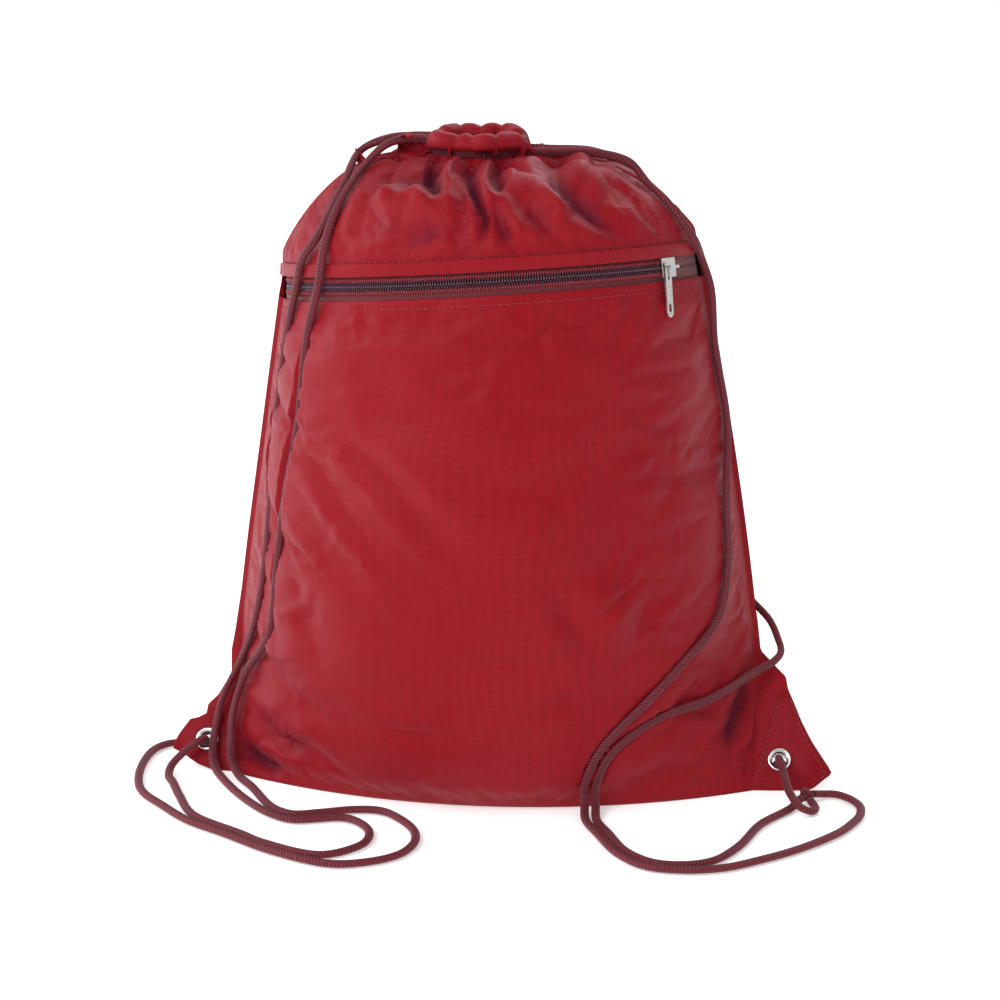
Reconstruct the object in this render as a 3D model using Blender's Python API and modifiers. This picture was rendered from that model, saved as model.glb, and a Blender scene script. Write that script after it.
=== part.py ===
"""Drawstring backpack with a zip pocket, standing filled on its base.

Metres, +Z up, front towards -Y. The origin is on the floor, under the middle of the bag.
The fabric is a lofted skin: every level is one circular arc across the front and one across
the back, and both end on the side seam. Panels, tapes and lining are offsets of that skin.
"""

import math

import bmesh
import bpy
import numpy as np
from mathutils import Matrix

# Clearance between neighbours, and wall thicknesses
GAP = 0.0003
FABRIC = 0.0012
PATCH = 0.0008
PATCH_GAP = 0.0005
LAYER = FABRIC + GAP / 2  # a panel's outer face lies this far from the seam's own surface

# Filled body
HEIGHT = 0.334
BASE_WIDTH = 0.274
BASE_FRONT = 0.077
BASE_BACK = 0.078
FRONT_BULGE = 0.106
BACK_BULGE = 0.104
SEAM_FORWARD = 0.038  # the side seams come this far forward at the floor
SEAM_LIP = 0.0025
BODY_X = -0.0045  # the filled body leans a little to the left of its base

# Flat corners at the bottom, which carry the eyelets
EAR_REACH = 0.033
EAR_TIP = 0.0095
EAR_TOP = 0.068
PATCH_TOP = 0.048
EYELET_X = 0.150
EYELET_Z = 0.0125
EYELET_BORE = 0.0075
EYELET_WIDTH = 0.0124
EYELET_WALL = 0.0006
EYELET_FLANGE = 0.0008
WASHER = 0.0006

# Gathered mouth
RING_X = -0.009
RING_WIDTH = 0.057
RING_DEPTH = 0.040
SHOULDER_RISE = 0.004
SHOULDER_REACH = 0.042
SHOULDER_LIFT = 0.010
CHANNEL_WALL = 0.0007
CHANNEL_ANGLE = math.radians(50)

# Zip, laid round a cone about its own axis
ZIP_HEIGHT = 0.274
ZIP_WIDTH = 0.214
ZIP_FRONT = 0.083
ZIP_BACK = 0.090
ZIP_SIDE_DROP = 0.013
ZIP_TILT = math.radians(4.4)
ZIP_CONE = math.radians(4)
BAND_BELOW = 0.030
BAND_ABOVE = 0.017
POCKET_EDGE = -0.0070
UPPER_EDGE = 0.0080
TAPE_WIDTH = 0.0145
TAPE = 0.0008
TAPE_GAP = 0.0005
COIL_WIDTH = 0.0024
COIL = 0.0015
COIL_INSET = 0.0007
LINING_DEPTH = 0.0043

# Slider and puller
SLIDER_ANGLE = math.radians(57)
SLIDER_LENGTH = 0.011
SLIDER_WIDTH = 0.0096
SLIDER_PLATE = 0.0009
SLIDER_GAP = 0.00045
DIVIDER_WIDTH = 0.0006
DIVIDER_LENGTH = 0.0030
BAIL_LEFT = -0.0026
BAIL_RIGHT = 0.0036
BAIL_RADIUS = 0.0008
PULLER_LENGTH = 0.0276
PULLER_WIDTH = 0.0049
PULLER = 0.0009
PULLER_TOP = 0.0027
PULLER_SLOT = 0.0026
PULLER_HANG = math.radians(-5)

# Cords and knots
CORD = 0.0042
CORD_ROOM = 0.0009
KNOT = 0.0088
LEFT_KNOT = (-0.150, -0.0208, 0.0071)
RIGHT_KNOT = (0.1645, -0.056, 0.0049)
RIGHT_TAIL_KNOT = (0.150, -0.0208, 0.0071)

ARC_STEPS = 24
EAR_STEPS = 2
LOW_STEPS = 11
HIGH_STEPS = 8


def vec(*values):
    return np.array(values, float)


def unit(direction):
    return direction / np.linalg.norm(direction)


def bezier(p0, p1, p2, p3, t):
    """A cubic curve from p0 to p3, pulled towards p1 and p2."""
    s = 1 - t
    return s**3 * p0 + 3 * s * s * t * p1 + 3 * s * t * t * p2 + t**3 * p3


def arc_through(start, crest, end, steps):
    """Points at even angles on the circle that runs from start over crest to end."""
    a, b = start - crest, end - crest
    normal = np.cross(a, b)
    centre = crest + np.cross(a @ a * b - b @ b * a, normal) / (2 * normal @ normal)
    first = start - centre
    side = np.cross(unit(normal), first)

    def turn_to(point):
        return math.atan2((point - centre) @ side, (point - centre) @ first) % (2 * math.pi)

    sweep = turn_to(end)
    if turn_to(crest) > sweep:
        side, sweep = -side, 2 * math.pi - sweep
    turns = np.linspace(0, sweep, steps + 1)[:, None]
    return centre + np.cos(turns) * first + np.sin(turns) * side


# ------------------------------------------------------------------ the zip's cone


def tilted(direction):
    """A direction turned about Y, so that the zip's right end is the higher one."""
    x, y, z = direction
    cosine, sine = math.cos(ZIP_TILT), math.sin(ZIP_TILT)
    return vec(cosine * x - sine * z, y, sine * x + cosine * z)


ZIP_RISE = math.hypot(ZIP_FRONT - LAYER, ZIP_SIDE_DROP)
ZIP_RADIUS = ((ZIP_WIDTH / 2) ** 2 + ZIP_RISE**2) / (2 * ZIP_RISE)
ZIP_ACROSS = tilted(vec(1, 0, 0))
ZIP_OUT = tilted(vec(0, LAYER - ZIP_FRONT, ZIP_SIDE_DROP) / ZIP_RISE)
ZIP_AXIS = np.cross(ZIP_OUT, ZIP_ACROSS)
ZIP_CENTRE = vec(BODY_X, -ZIP_FRONT, ZIP_HEIGHT) - ZIP_RADIUS * ZIP_OUT


def zip_directions(angle):
    """The tangent, the outward normal and the upward slant of the cone at an angle."""
    radial = math.sin(angle) * ZIP_ACROSS + math.cos(angle) * ZIP_OUT
    tangent = math.cos(angle) * ZIP_ACROSS - math.sin(angle) * ZIP_OUT
    outward = math.cos(ZIP_CONE) * radial + math.sin(ZIP_CONE) * ZIP_AXIS
    upward = math.cos(ZIP_CONE) * ZIP_AXIS - math.sin(ZIP_CONE) * radial
    return tangent, outward, upward


def zip_point(angle, up=0.0, out=0.0):
    radial = math.sin(angle) * ZIP_ACROSS + math.cos(angle) * ZIP_OUT
    _, outward, upward = zip_directions(angle)
    return ZIP_CENTRE + ZIP_RADIUS * radial + up * upward + out * outward


def zip_end(up):
    """The angle at which the cone reaches the side seam."""
    reach = -LAYER - ZIP_CENTRE[1] - up * math.cos(ZIP_CONE) * ZIP_AXIS[1]
    return math.acos(reach / (ZIP_OUT[1] * (ZIP_RADIUS - up * math.sin(ZIP_CONE))))


# ------------------------------------------------------------------ levels of the skin


CHANNEL_HEIGHT = 2 * CORD + 3 * CORD_ROOM + 2 * CHANNEL_WALL
CHANNEL_DEPTH = CORD + 2 * CORD_ROOM + 2 * CHANNEL_WALL
RING_BOTTOM = HEIGHT - CHANNEL_HEIGHT
SKIN_TOP = RING_BOTTOM - GAP


def seam_y(z):
    return -SEAM_FORWARD * max(0.0, 1 - z / EAR_TOP) ** 1.5


def seam_slope(z):
    return 1.5 * SEAM_FORWARD / EAR_TOP * math.sqrt(max(0.0, 1 - z / EAR_TOP))


def seam_point(x, z):
    return vec(x, seam_y(z), z)


def zip_seam(side, up):
    x, _, z = zip_point(side * zip_end(up), up)
    return vec(x, 0, z)


def low_level(t):
    """Left, right, front and back points of a level between the floor and the zip's band."""
    sides = []
    for side in (-1, 1):
        top = zip_seam(side, -BAND_BELOW)
        down = unit(top - zip_seam(side, 0))
        foot = vec(side * BASE_WIDTH / 2, 0, 0)
        x, _, z = bezier(foot, foot + vec(side * 0.0055, 0, 0.05), top + 0.06 * down, top, t)
        sides.append(seam_point(x, z))
    top = zip_point(0, -BAND_BELOW)
    down = unit(top - zip_point(0, 0))
    front = bezier(vec(0, -BASE_FRONT, 0), vec(0, -FRONT_BULGE, 0.03), top + 0.075 * down, top, t)
    back = bezier(
        vec(0, BASE_BACK, 0), vec(0, BACK_BULGE, 0.03), vec(BODY_X, BACK_BULGE, 0.165), BACK_LOW, t
    )
    return *sides, front, back


BACK_LOW = vec(BODY_X, ZIP_BACK, ZIP_HEIGHT - BAND_BELOW - 0.004)
BACK_HIGH = vec(BODY_X, ZIP_BACK - 0.010, ZIP_HEIGHT + BAND_ABOVE - 0.008)


def band_level(up):
    """A level of the band that holds the zip."""
    share = (up + BAND_BELOW) / (BAND_ABOVE + BAND_BELOW)
    back = BACK_LOW + share * (BACK_HIGH - BACK_LOW)
    return zip_seam(-1, up), zip_seam(1, up), zip_point(0, up), back


def high_level(t):
    """A level between the zip's band and the gathered mouth."""
    sides = []
    for side in (-1, 1):
        low = zip_seam(side, BAND_ABOVE)
        rise = unit(low - zip_seam(side, 0))
        rim = vec(RING_X + side * RING_WIDTH / 2, 0, SKIN_TOP)
        shoulder = rim + vec(side * SHOULDER_REACH, 0, SHOULDER_LIFT)
        sides.append(bezier(low, low + SHOULDER_RISE * rise, shoulder, rim, t))
    crests = []
    for side, low, rise in (
        (-1, zip_point(0, BAND_ABOVE), zip_directions(0)[2]),
        (1, BACK_HIGH, unit(BACK_HIGH - BACK_LOW)),
    ):
        rim = vec(RING_X, side * RING_DEPTH / 2, SKIN_TOP)
        crests.append(bezier(low, low + 0.02 * rise, rim + vec(0, side * 0.022, 0.003), rim, t))
    return *sides, *crests


def all_levels():
    """Every level from the floor up, and the indexes of the two that edge the zip's opening."""
    low = [low_level((k / LOW_STEPS) ** 1.55) for k in range(LOW_STEPS)]
    below = [band_level(up) for up in (-BAND_BELOW, (POCKET_EDGE - BAND_BELOW) / 2, POCKET_EDGE)]
    above = [band_level(up) for up in (UPPER_EDGE, BAND_ABOVE)]
    high = [high_level((k + 1) / HIGH_STEPS) for k in range(HIGH_STEPS)]
    pocket = len(low) + len(below) - 1
    return low + below + above + high, pocket, pocket + 1


def ear_reach(z):
    """How far the flat corner reaches out: furthest at its tip, a little above the floor."""
    if z < EAR_TIP:
        share = 0.15 + 0.85 * z / EAR_TIP
    else:
        share = max(0.0, (EAR_TOP - z) / (EAR_TOP - EAR_TIP)) ** 1.3
    return SEAM_LIP + (EAR_REACH - SEAM_LIP) * share


def lip_directions(seam, side):
    """Outward directions, square to the seam and level where the flat corner reaches out."""
    run = np.gradient(seam, axis=0)
    out = np.stack([side * run[:, 2], 0 * run[:, 0], -side * run[:, 0]], axis=1)
    out[seam[:, 2] < EAR_TOP] = (side, 0, 0)
    return out / np.linalg.norm(out, axis=1)[:, None]


def skin(levels, facing):
    """The outer face as a grid of points: one row a level, from the left lip to the right.

    facing is -1 for the front and 1 for the back.
    """
    left, right = (np.array([level[side] for level in levels]) for side in (0, 1))
    out_left, out_right = lip_directions(left, -1), lip_directions(right, 1)
    rows = []
    for k, level in enumerate(levels):
        crest = level[2] if facing < 0 else level[3]
        ends = []
        for point in level[:2]:
            shift = LAYER * math.hypot(1, seam_slope(point[2]))
            ends.append(point + vec(0, facing * shift, 0))
        arc = arc_through(ends[0], crest, ends[1], ARC_STEPS)
        steps = (np.arange(EAR_STEPS) + 1)[:, None] / EAR_STEPS
        lip_left = ends[0] + steps * ear_reach(left[k][2]) * out_left[k]
        lip_right = ends[1] + steps * ear_reach(right[k][2]) * out_right[k]
        rows.append(np.concatenate([lip_left[::-1], arc, lip_right]))
    return np.array(rows)


def normals(grid):
    """Unit normals of a grid of points, out of the front."""
    across = np.gradient(grid, axis=1)
    upward = np.gradient(grid, axis=0)
    out = np.cross(across, upward)
    return out / np.linalg.norm(out, axis=2)[:, :, None]


# ------------------------------------------------------------------ Blender helpers


def clear_scene():
    for obj in list(bpy.data.objects):
        bpy.data.objects.remove(obj, do_unlink=True)


def new_collection(name):
    collection = bpy.data.collections.new(name)
    bpy.context.scene.collection.children.link(collection)
    return collection


def new_material(name, colour, roughness, metallic=0.0):
    material = bpy.data.materials.new(name)
    material.use_nodes = True
    shader = material.node_tree.nodes["Principled BSDF"]
    shader.inputs["Base Color"].default_value = (*colour, 1)
    shader.inputs["Roughness"].default_value = roughness
    shader.inputs["Metallic"].default_value = metallic
    material.diffuse_color = (*colour, 1)
    return material


def add_object(name, data, collection, material=None, matrix=None, parent=None):
    obj = bpy.data.objects.new(name, data)
    collection.objects.link(obj)
    if material:
        data.materials.append(material)
    if parent:
        obj.parent = parent
    if matrix:
        obj.matrix_basis = matrix
    return obj


def grid_faces(rows, columns, keep=None, cyclic=False, flip=False):
    faces = []
    for r in range(rows - 1):
        for c in range(columns - (not cyclic)):
            if keep is not None and not keep[r][c]:
                continue
            after = (c + 1) % columns
            face = [r * columns + c, r * columns + after]
            face += [(r + 1) * columns + after, (r + 1) * columns + c]
            faces.append(face[::-1] if flip else face)
    return faces


def mesh_from(name, points, faces):
    mesh = bpy.data.meshes.new(name)
    mesh.from_pydata([tuple(point) for point in points], [], faces)
    work = bmesh.new()
    work.from_mesh(mesh)
    bmesh.ops.delete(work, geom=[v for v in work.verts if not v.link_faces], context="VERTS")
    work.to_mesh(mesh)
    work.free()
    mesh.shade_smooth()
    return mesh


def shell(name, grid, thickness, material, keep=None, cyclic=False, flip=False):
    """A wall whose outer face is the grid and whose thickness goes inwards."""
    rows, columns, _ = grid.shape
    faces = grid_faces(rows, columns, keep, cyclic, flip)
    mesh = mesh_from(name, grid.reshape(-1, 3), faces)
    obj = add_object(name, mesh, PARTS, material)
    wall = obj.modifiers.new("wall", "SOLIDIFY")
    wall.thickness = thickness
    wall.offset = -1
    wall.use_even_offset = True
    wall.use_quality_normals = True
    return obj


def cut(obj, cutter):
    boolean = obj.modifiers.new(cutter.name, "BOOLEAN")
    boolean.operation = "DIFFERENCE"
    boolean.object = cutter


def join(obj, other):
    boolean = obj.modifiers.new(other.name, "BOOLEAN")
    boolean.operation = "UNION"
    boolean.object = other


def helper(obj):
    obj.hide_render = True
    obj.display_type = "WIRE"
    return obj


def box_mesh(name, low, high, bevel=0.0):
    low, high = np.array(low), np.array(high)
    work = bmesh.new()
    bmesh.ops.create_cube(work, size=1)
    for vertex in work.verts:
        vertex.co = (low + high) / 2 + np.array(vertex.co) * (high - low)
    if bevel:
        bmesh.ops.bevel(work, geom=work.edges[:], offset=bevel, segments=2, affect="EDGES")
    mesh = bpy.data.meshes.new(name)
    work.to_mesh(mesh)
    work.free()
    return mesh


def cylinder_mesh(name, radius, low, high, centre=(0, 0), steps=24):
    """An upright cylinder between two heights."""
    work = bmesh.new()
    place = Matrix.Translation((*centre, (low + high) / 2))
    bmesh.ops.create_cone(
        work, cap_ends=True, segments=steps, radius1=radius, radius2=radius,
        depth=high - low, matrix=place,
    )
    mesh = bpy.data.meshes.new(name)
    work.to_mesh(mesh)
    work.free()
    return mesh


def turned(name, profile, matrix, material, steps=24):
    """A closed profile of (radius, height) pairs, turned about the local Z axis."""
    count = len(profile)
    mesh = bpy.data.meshes.new(name)
    edges = [(k, (k + 1) % count) for k in range(count)]
    mesh.from_pydata([(radius, 0, height) for radius, height in profile], edges, [])
    obj = add_object(name, mesh, PARTS, material, matrix)
    screw = obj.modifiers.new("turned", "SCREW")
    screw.steps = screw.render_steps = steps
    screw.use_merge_vertices = True
    screw.merge_threshold = 0.00001
    return obj


def frame_matrix(origin, x_axis, y_axis, z_axis):
    matrix = Matrix.Identity(4)
    for column, axis in enumerate((x_axis, y_axis, z_axis, origin)):
        for row in range(3):
            matrix[row][column] = axis[row]
    return matrix


# ------------------------------------------------------------------ fabric pieces


def make_panels():
    levels, pocket, upper = all_levels()
    front, back = skin(levels, -1), skin(levels, 1)
    columns = front.shape[1]

    shell("front_pocket_panel", front[: pocket + 1], FABRIC, MATERIALS["fabric"])
    shell("front_upper_panel", front[upper:], FABRIC, MATERIALS["fabric"])

    # The back panel turns under the bag and ends inside the front panel's lower edge.
    inset = FABRIC + GAP
    floor_left, floor_right, floor_front, _ = levels[0]
    rim = arc_through(
        floor_left + vec(inset, 0, 0), floor_front + vec(0, inset, 0),
        floor_right - vec(inset, 0, 0), ARC_STEPS,
    )
    rim = np.concatenate([back[0][:EAR_STEPS], rim, back[0][-EAR_STEPS:]])
    base = [rim + share * (back[0] - rim) for share in (0, 0.25, 0.5, 0.75)]
    grid = np.concatenate([base, back])
    keep = np.ones((len(grid) - 1, columns - 1), bool)
    edge = EAR_STEPS + 1
    keep[: len(base), :edge] = keep[: len(base), -edge:] = False
    shell("back_panel", grid, FABRIC, MATERIALS["fabric"], keep, flip=True)

    # The lining backs the pocket, from just above the base to the tape's upper edge.
    tape_top = COIL_INSET + TAPE_WIDTH
    rows = levels[2 : pocket + 1] + [band_level(UPPER_EDGE), band_level(tape_top)]
    outer = skin(rows, -1)
    inner = outer - LINING_DEPTH * normals(outer)
    edge = EAR_STEPS + 1
    shell("pocket_lining", inner[:, edge:-edge], FABRIC, MATERIALS["lining"])

    # Reinforcing triangles over the flat corners.
    patch_rows = [k for k, level in enumerate(levels) if level[0][2] < PATCH_TOP]
    raised = front[patch_rows] + (PATCH_GAP + PATCH) * normals(front[patch_rows])
    raised[0] = raised[1] + (raised[0] - raised[1]) * 0.6
    width = EAR_STEPS + 2
    shell("left_corner_patch", raised[:, :width], PATCH, MATERIALS["fabric"])
    shell("right_corner_patch", raised[:, -width:], PATCH, MATERIALS["fabric"])


def channel_grid(facing):
    """The hem tunnel's outer wall: a rectangle carried round an arc of the mouth."""
    crest = vec(RING_X, facing * RING_DEPTH / 2, 0)
    radius = ((RING_WIDTH / 2) ** 2 + (RING_DEPTH / 2) ** 2) / RING_DEPTH
    centre = crest - vec(0, facing * radius, 0)
    rows = []
    for angle in np.linspace(-CHANNEL_ANGLE, CHANNEL_ANGLE, 15):
        outward = vec(math.sin(angle), facing * math.cos(angle), 0)
        outer, inner = centre + radius * outward, centre + (radius - CHANNEL_DEPTH) * outward
        low, high = vec(0, 0, RING_BOTTOM), vec(0, 0, HEIGHT)
        rows.append([outer + low, outer + high, inner + high, inner + low])
    return np.array(rows)


def make_channels():
    for name, facing in (("front", -1), ("back", 1)):
        shell(
            f"{name}_cord_channel", channel_grid(facing), CHANNEL_WALL, MATERIALS["fabric"],
            cyclic=True, flip=facing < 0,
        )


# ------------------------------------------------------------------ zip pieces


def zip_strip(name, low, high, out, thickness, margin, material):
    """A strip along the zip between two heights on the cone."""
    end = min(zip_end(low), zip_end(high)) - margin
    angles = np.linspace(-end, end, 2 * ARC_STEPS + 1)
    ups = np.linspace(low, high, 3)
    grid = np.array([[zip_point(angle, up, out) for angle in angles] for up in ups])
    shell(name, grid, thickness, material)


def make_zip():
    tape_out = -FABRIC - TAPE_GAP
    coil_out = tape_out + GAP + COIL
    tape_margin, coil_margin = math.radians(3), math.radians(6)
    near, tape_far, coil_far = COIL_INSET, COIL_INSET + TAPE_WIDTH, COIL_INSET + COIL_WIDTH
    for name, side in (("upper", 1), ("lower", -1)):
        low, high = sorted((side * near, side * tape_far))
        zip_strip(f"zip_tape_{name}", low, high, tape_out, TAPE, tape_margin, MATERIALS["tape"])
        low, high = sorted((side * near, side * coil_far))
        zip_strip(f"zip_coil_{name}", low, high, coil_out, COIL, coil_margin, MATERIALS["coil"])
    return tape_out, coil_out


def slider_block(name, low, high, bevel, matrix):
    """A part of the slider. Local x runs along the zip, -y outwards and z across the zip."""
    (x0, out0, z0), (x1, out1, z1) = low, high
    mesh = box_mesh(name, (x0, -out1, z0), (x1, -out0, z1), bevel)
    return helper(add_object(name, mesh, CUTTERS, matrix=matrix))


def make_slider(tape_out, coil_out):
    tangent, outward, upward = zip_directions(SLIDER_ANGLE)
    axis_frame = frame_matrix(ZIP_CENTRE, ZIP_ACROSS, -ZIP_OUT, ZIP_AXIS)
    axis = add_object("zip_axis", None, PARTS, matrix=axis_frame)
    axis.empty_display_size = 0.02
    world = frame_matrix(zip_point(SLIDER_ANGLE), tangent, -outward, upward)

    half_length, half_width = SLIDER_LENGTH / 2, SLIDER_WIDTH / 2
    top_low = coil_out + SLIDER_GAP
    top_high = top_low + SLIDER_PLATE
    under_high = tape_out - TAPE - SLIDER_GAP
    under_low = under_high - SLIDER_PLATE
    coil_edge = COIL_INSET + COIL_WIDTH + SLIDER_GAP
    mesh = box_mesh(
        "zip_slider", (-half_length, -top_high, -half_width), (half_length, -top_low, half_width),
        SLIDER_PLATE * 0.3,
    )
    slider = add_object("zip_slider", mesh, PARTS, MATERIALS["metal"], parent=axis)
    slider.matrix_basis = axis_frame.inverted() @ world

    bail_low = top_high + PULLER + 2 * SLIDER_GAP
    bail_high = bail_low + 2 * BAIL_RADIUS
    blocks = {
        "under_plate": ((-half_length, under_low, -half_width), (half_length, under_high, half_width)),
        "divider": (
            (half_length - DIVIDER_LENGTH, under_low + 0.0002, -DIVIDER_WIDTH / 2),
            (half_length - 0.0004, top_high - 0.0002, DIVIDER_WIDTH / 2),
        ),
        "bail": (
            (BAIL_LEFT - BAIL_RADIUS, bail_low, -BAIL_RADIUS),
            (BAIL_RIGHT + BAIL_RADIUS, bail_high, BAIL_RADIUS),
        ),
        "upper_flange": (
            (-half_length + 0.0003, tape_out + SLIDER_GAP, coil_edge),
            (half_length - 0.0003, top_high - 0.0002, half_width - 0.0001),
        ),
        "lower_flange": (
            (-half_length + 0.0003, tape_out + SLIDER_GAP, -half_width + 0.0001),
            (half_length - 0.0003, top_high - 0.0002, -coil_edge),
        ),
    }
    for name, (low, high) in blocks.items():
        bevel = 0.0003 if name == "bail" else 0
        join(slider, slider_block(name, low, high, bevel, world))
    for name, x in (("left_foot", BAIL_LEFT), ("right_foot", BAIL_RIGHT)):
        mesh = cylinder_mesh(name, BAIL_RADIUS - 0.0001, top_high - 0.0004, bail_high - 0.0005, (x, 0), 16)
        # The cylinder stands along its own Z, and the slider's outward direction is -Y.
        upright = world @ Matrix.Rotation(math.pi / 2, 4, "X")
        join(slider, helper(add_object(name, mesh, CUTTERS, matrix=upright)))
    return slider, axis_frame, world, top_high + SLIDER_GAP


def round_end_loop(half_top, half_bottom, top, bottom, steps=8):
    """An outline with a round end at each height, clockwise from the upper left."""
    loop = []
    for half, centre, start in ((half_top, top, math.pi), (half_bottom, bottom, 0)):
        for turn in np.linspace(start, start - math.pi, steps + 1):
            loop.append((half * math.cos(turn), centre + half * math.sin(turn)))
    return loop


def make_puller(slider, axis_frame, slider_world, plate_low):
    """The puller hangs from the bail's left foot, flat above the slider."""
    tangent, outward, upward = zip_directions(SLIDER_ANGLE)
    pivot = zip_point(SLIDER_ANGLE, 0, plate_low + PULLER / 2) + BAIL_LEFT * tangent
    world = frame_matrix(pivot, tangent, upward, outward)
    world = world @ Matrix.Rotation(PULLER_HANG, 4, "Z")

    curve = bpy.data.curves.new("zip_puller", "CURVE")
    curve.dimensions = "2D"
    curve.fill_mode = "BOTH"
    curve.extrude = PULLER / 2
    half, slot = PULLER_WIDTH / 2, PULLER_SLOT / 2
    low = PULLER_TOP - PULLER_LENGTH
    hole = low + 0.0036
    loops = (
        round_end_loop(half, half, PULLER_TOP - half, low + half),
        round_end_loop(slot, slot * 0.6, 0, -0.0055),
        round_end_loop(0.001, 0.001, hole + 0.0022, hole),
    )
    for loop in loops:
        spline = curve.splines.new("POLY")
        spline.points.add(len(loop) - 1)
        for point, (x, y) in zip(spline.points, loop):
            point.co = (x, y, 0, 1)
        spline.use_cyclic_u = True
    puller = add_object("zip_puller", curve, PARTS, MATERIALS["metal"], parent=slider)
    puller.matrix_basis = slider_world.inverted() @ world
    return puller


# ------------------------------------------------------------------ eyelets


def eyelet_frame(side):
    """Origin on the seam's surface at the eyelet, local Z out of the front."""
    slope = seam_slope(EYELET_Z)
    outward = unit(vec(0, -1, slope))
    across = vec(1, 0, 0)
    origin = seam_point(side * EYELET_X, EYELET_Z)
    return frame_matrix(origin, across, np.cross(outward, across), outward)


def make_eyelets():
    bore, outer = EYELET_BORE / 2, EYELET_WIDTH / 2
    barrel = bore + EYELET_WALL
    seat = LAYER + PATCH_GAP + PATCH + PATCH_GAP
    washer_top = -LAYER - GAP
    washer_low = washer_top - WASHER
    curl_top = washer_low - GAP
    curl_low = curl_top - EYELET_FLANGE
    curl = barrel + 0.0010
    profile = [
        (bore, seat + EYELET_FLANGE * 0.5),
        (bore + 0.0003, seat + EYELET_FLANGE),
        (outer - 0.0009, seat + EYELET_FLANGE),
        (outer, seat + EYELET_FLANGE * 0.35),
        (outer, seat),
        (barrel, seat),
        (barrel, curl_top),
        (curl, curl_top),
        (curl, curl_low + 0.0003),
        (curl - 0.0004, curl_low),
        (bore, curl_low),
    ]
    washer = [
        (barrel + GAP, washer_top), (outer - 0.0004, washer_top),
        (outer - 0.0004, washer_low), (barrel + GAP, washer_low),
    ]
    holes = {}
    for name, side in (("left", -1), ("right", 1)):
        place = eyelet_frame(side)
        turned(f"{name}_eyelet", profile, place, MATERIALS["metal"])
        turned(f"{name}_eyelet_washer", washer, place, MATERIALS["metal"])
        mesh = cylinder_mesh(f"{name}_hole", barrel + GAP, -0.008, 0.008)
        holes[name] = helper(add_object(f"{name}_hole", mesh, CUTTERS, matrix=place))
        for panel in ("front_pocket_panel", "back_panel", f"{name}_corner_patch"):
            cut(PARTS.objects[panel], holes[name])


# ------------------------------------------------------------------ cords and knots


# Each cord's route from its first end to the mouth, and from the mouth back to its other end.
LEFT_CORD_START = (
    (-0.151, -0.025, 0.01), (-0.151, -0.0285, 0.0125), (-0.1515, -0.0335, 0.0155),
    (-0.1555, -0.039, 0.014), (-0.161, -0.042, 0.01), (-0.166, -0.0465, 0.005),
    (-0.166, -0.055, 0.0025), (-0.1615, -0.066, 0.0025), (-0.1545, -0.0845, 0.0025),
    (-0.1425, -0.11, 0.0025), (-0.114, -0.133, 0.0025), (-0.1005, -0.144, 0.0025),
    (-0.07, -0.1565, 0.0025), (-0.0525, -0.1415, 0.0025), (-0.0505, -0.1265, 0.0025),
    (-0.0555, -0.1145, 0.0025), (-0.066, -0.106, 0.0025), (-0.0915, -0.111, 0.0025),
    (-0.1035, -0.1045, 0.0025), (-0.1175, -0.089, 0.0025), (-0.135, -0.062, 0.003),
    (-0.143, -0.047, 0.005), (-0.1455, -0.0395, 0.0095), (-0.146, -0.033, 0.0165),
    (-0.1455, -0.0275, 0.0225), (-0.143, -0.0225, 0.0345), (-0.1355, -0.012, 0.0505),
    (-0.1245, -0.0255, 0.078), (-0.118, -0.0315, 0.1075), (-0.114, -0.03, 0.146),
    (-0.112, -0.0235, 0.182), (-0.105, -0.028, 0.229), (-0.098, -0.0355, 0.259),
    (-0.094, -0.04, 0.2745), (-0.0845, -0.044, 0.289), (-0.0755, -0.027, 0.309),
    (-0.069, 0.002, 0.3235), (-0.056, 0.0035, 0.329), (-0.044, 0.0035, 0.3305),
)
LEFT_CORD_END = (
    (-0.044, -0.0035, 0.3305), (-0.055, -0.0075, 0.328), (-0.0645, -0.014, 0.3195),
    (-0.0735, -0.036, 0.3065), (-0.08, -0.0515, 0.2875), (-0.084, -0.054, 0.2635),
    (-0.09, -0.051, 0.239), (-0.096, -0.051, 0.1895), (-0.103, -0.047, 0.1555),
    (-0.1085, -0.0455, 0.1165), (-0.1135, -0.0435, 0.079), (-0.131, -0.0245, 0.0475),
    (-0.136, -0.03, 0.03), (-0.136, -0.0385, 0.016), (-0.1345, -0.0445, 0.008),
    (-0.13, -0.0525, 0.0035), (-0.12, -0.0675, 0.0025), (-0.104, -0.096, 0.0025),
    (-0.0925, -0.1035, 0.0025), (-0.0795, -0.1, 0.0025), (-0.062, -0.094, 0.0025),
    (-0.049, -0.0945, 0.0025), (-0.037, -0.106, 0.0025), (-0.0285, -0.1215, 0.0025),
    (-0.027, -0.1375, 0.0025), (-0.0325, -0.1525, 0.0025), (-0.0455, -0.163, 0.0025),
    (-0.0635, -0.1675, 0.0025), (-0.0945, -0.154, 0.0025), (-0.124, -0.132, 0.0025),
    (-0.1445, -0.117, 0.0025), (-0.161, -0.098, 0.0025), (-0.1745, -0.0805, 0.0025),
    (-0.1805, -0.0625, 0.0025), (-0.183, -0.034, 0.0025), (-0.1805, -0.0155, 0.0025),
    (-0.174, -0.007, 0.0025), (-0.1635, -0.0055, 0.0025), (-0.156, -0.0095, 0.004),
    (-0.1525, -0.016, 0.0055),
)
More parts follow.
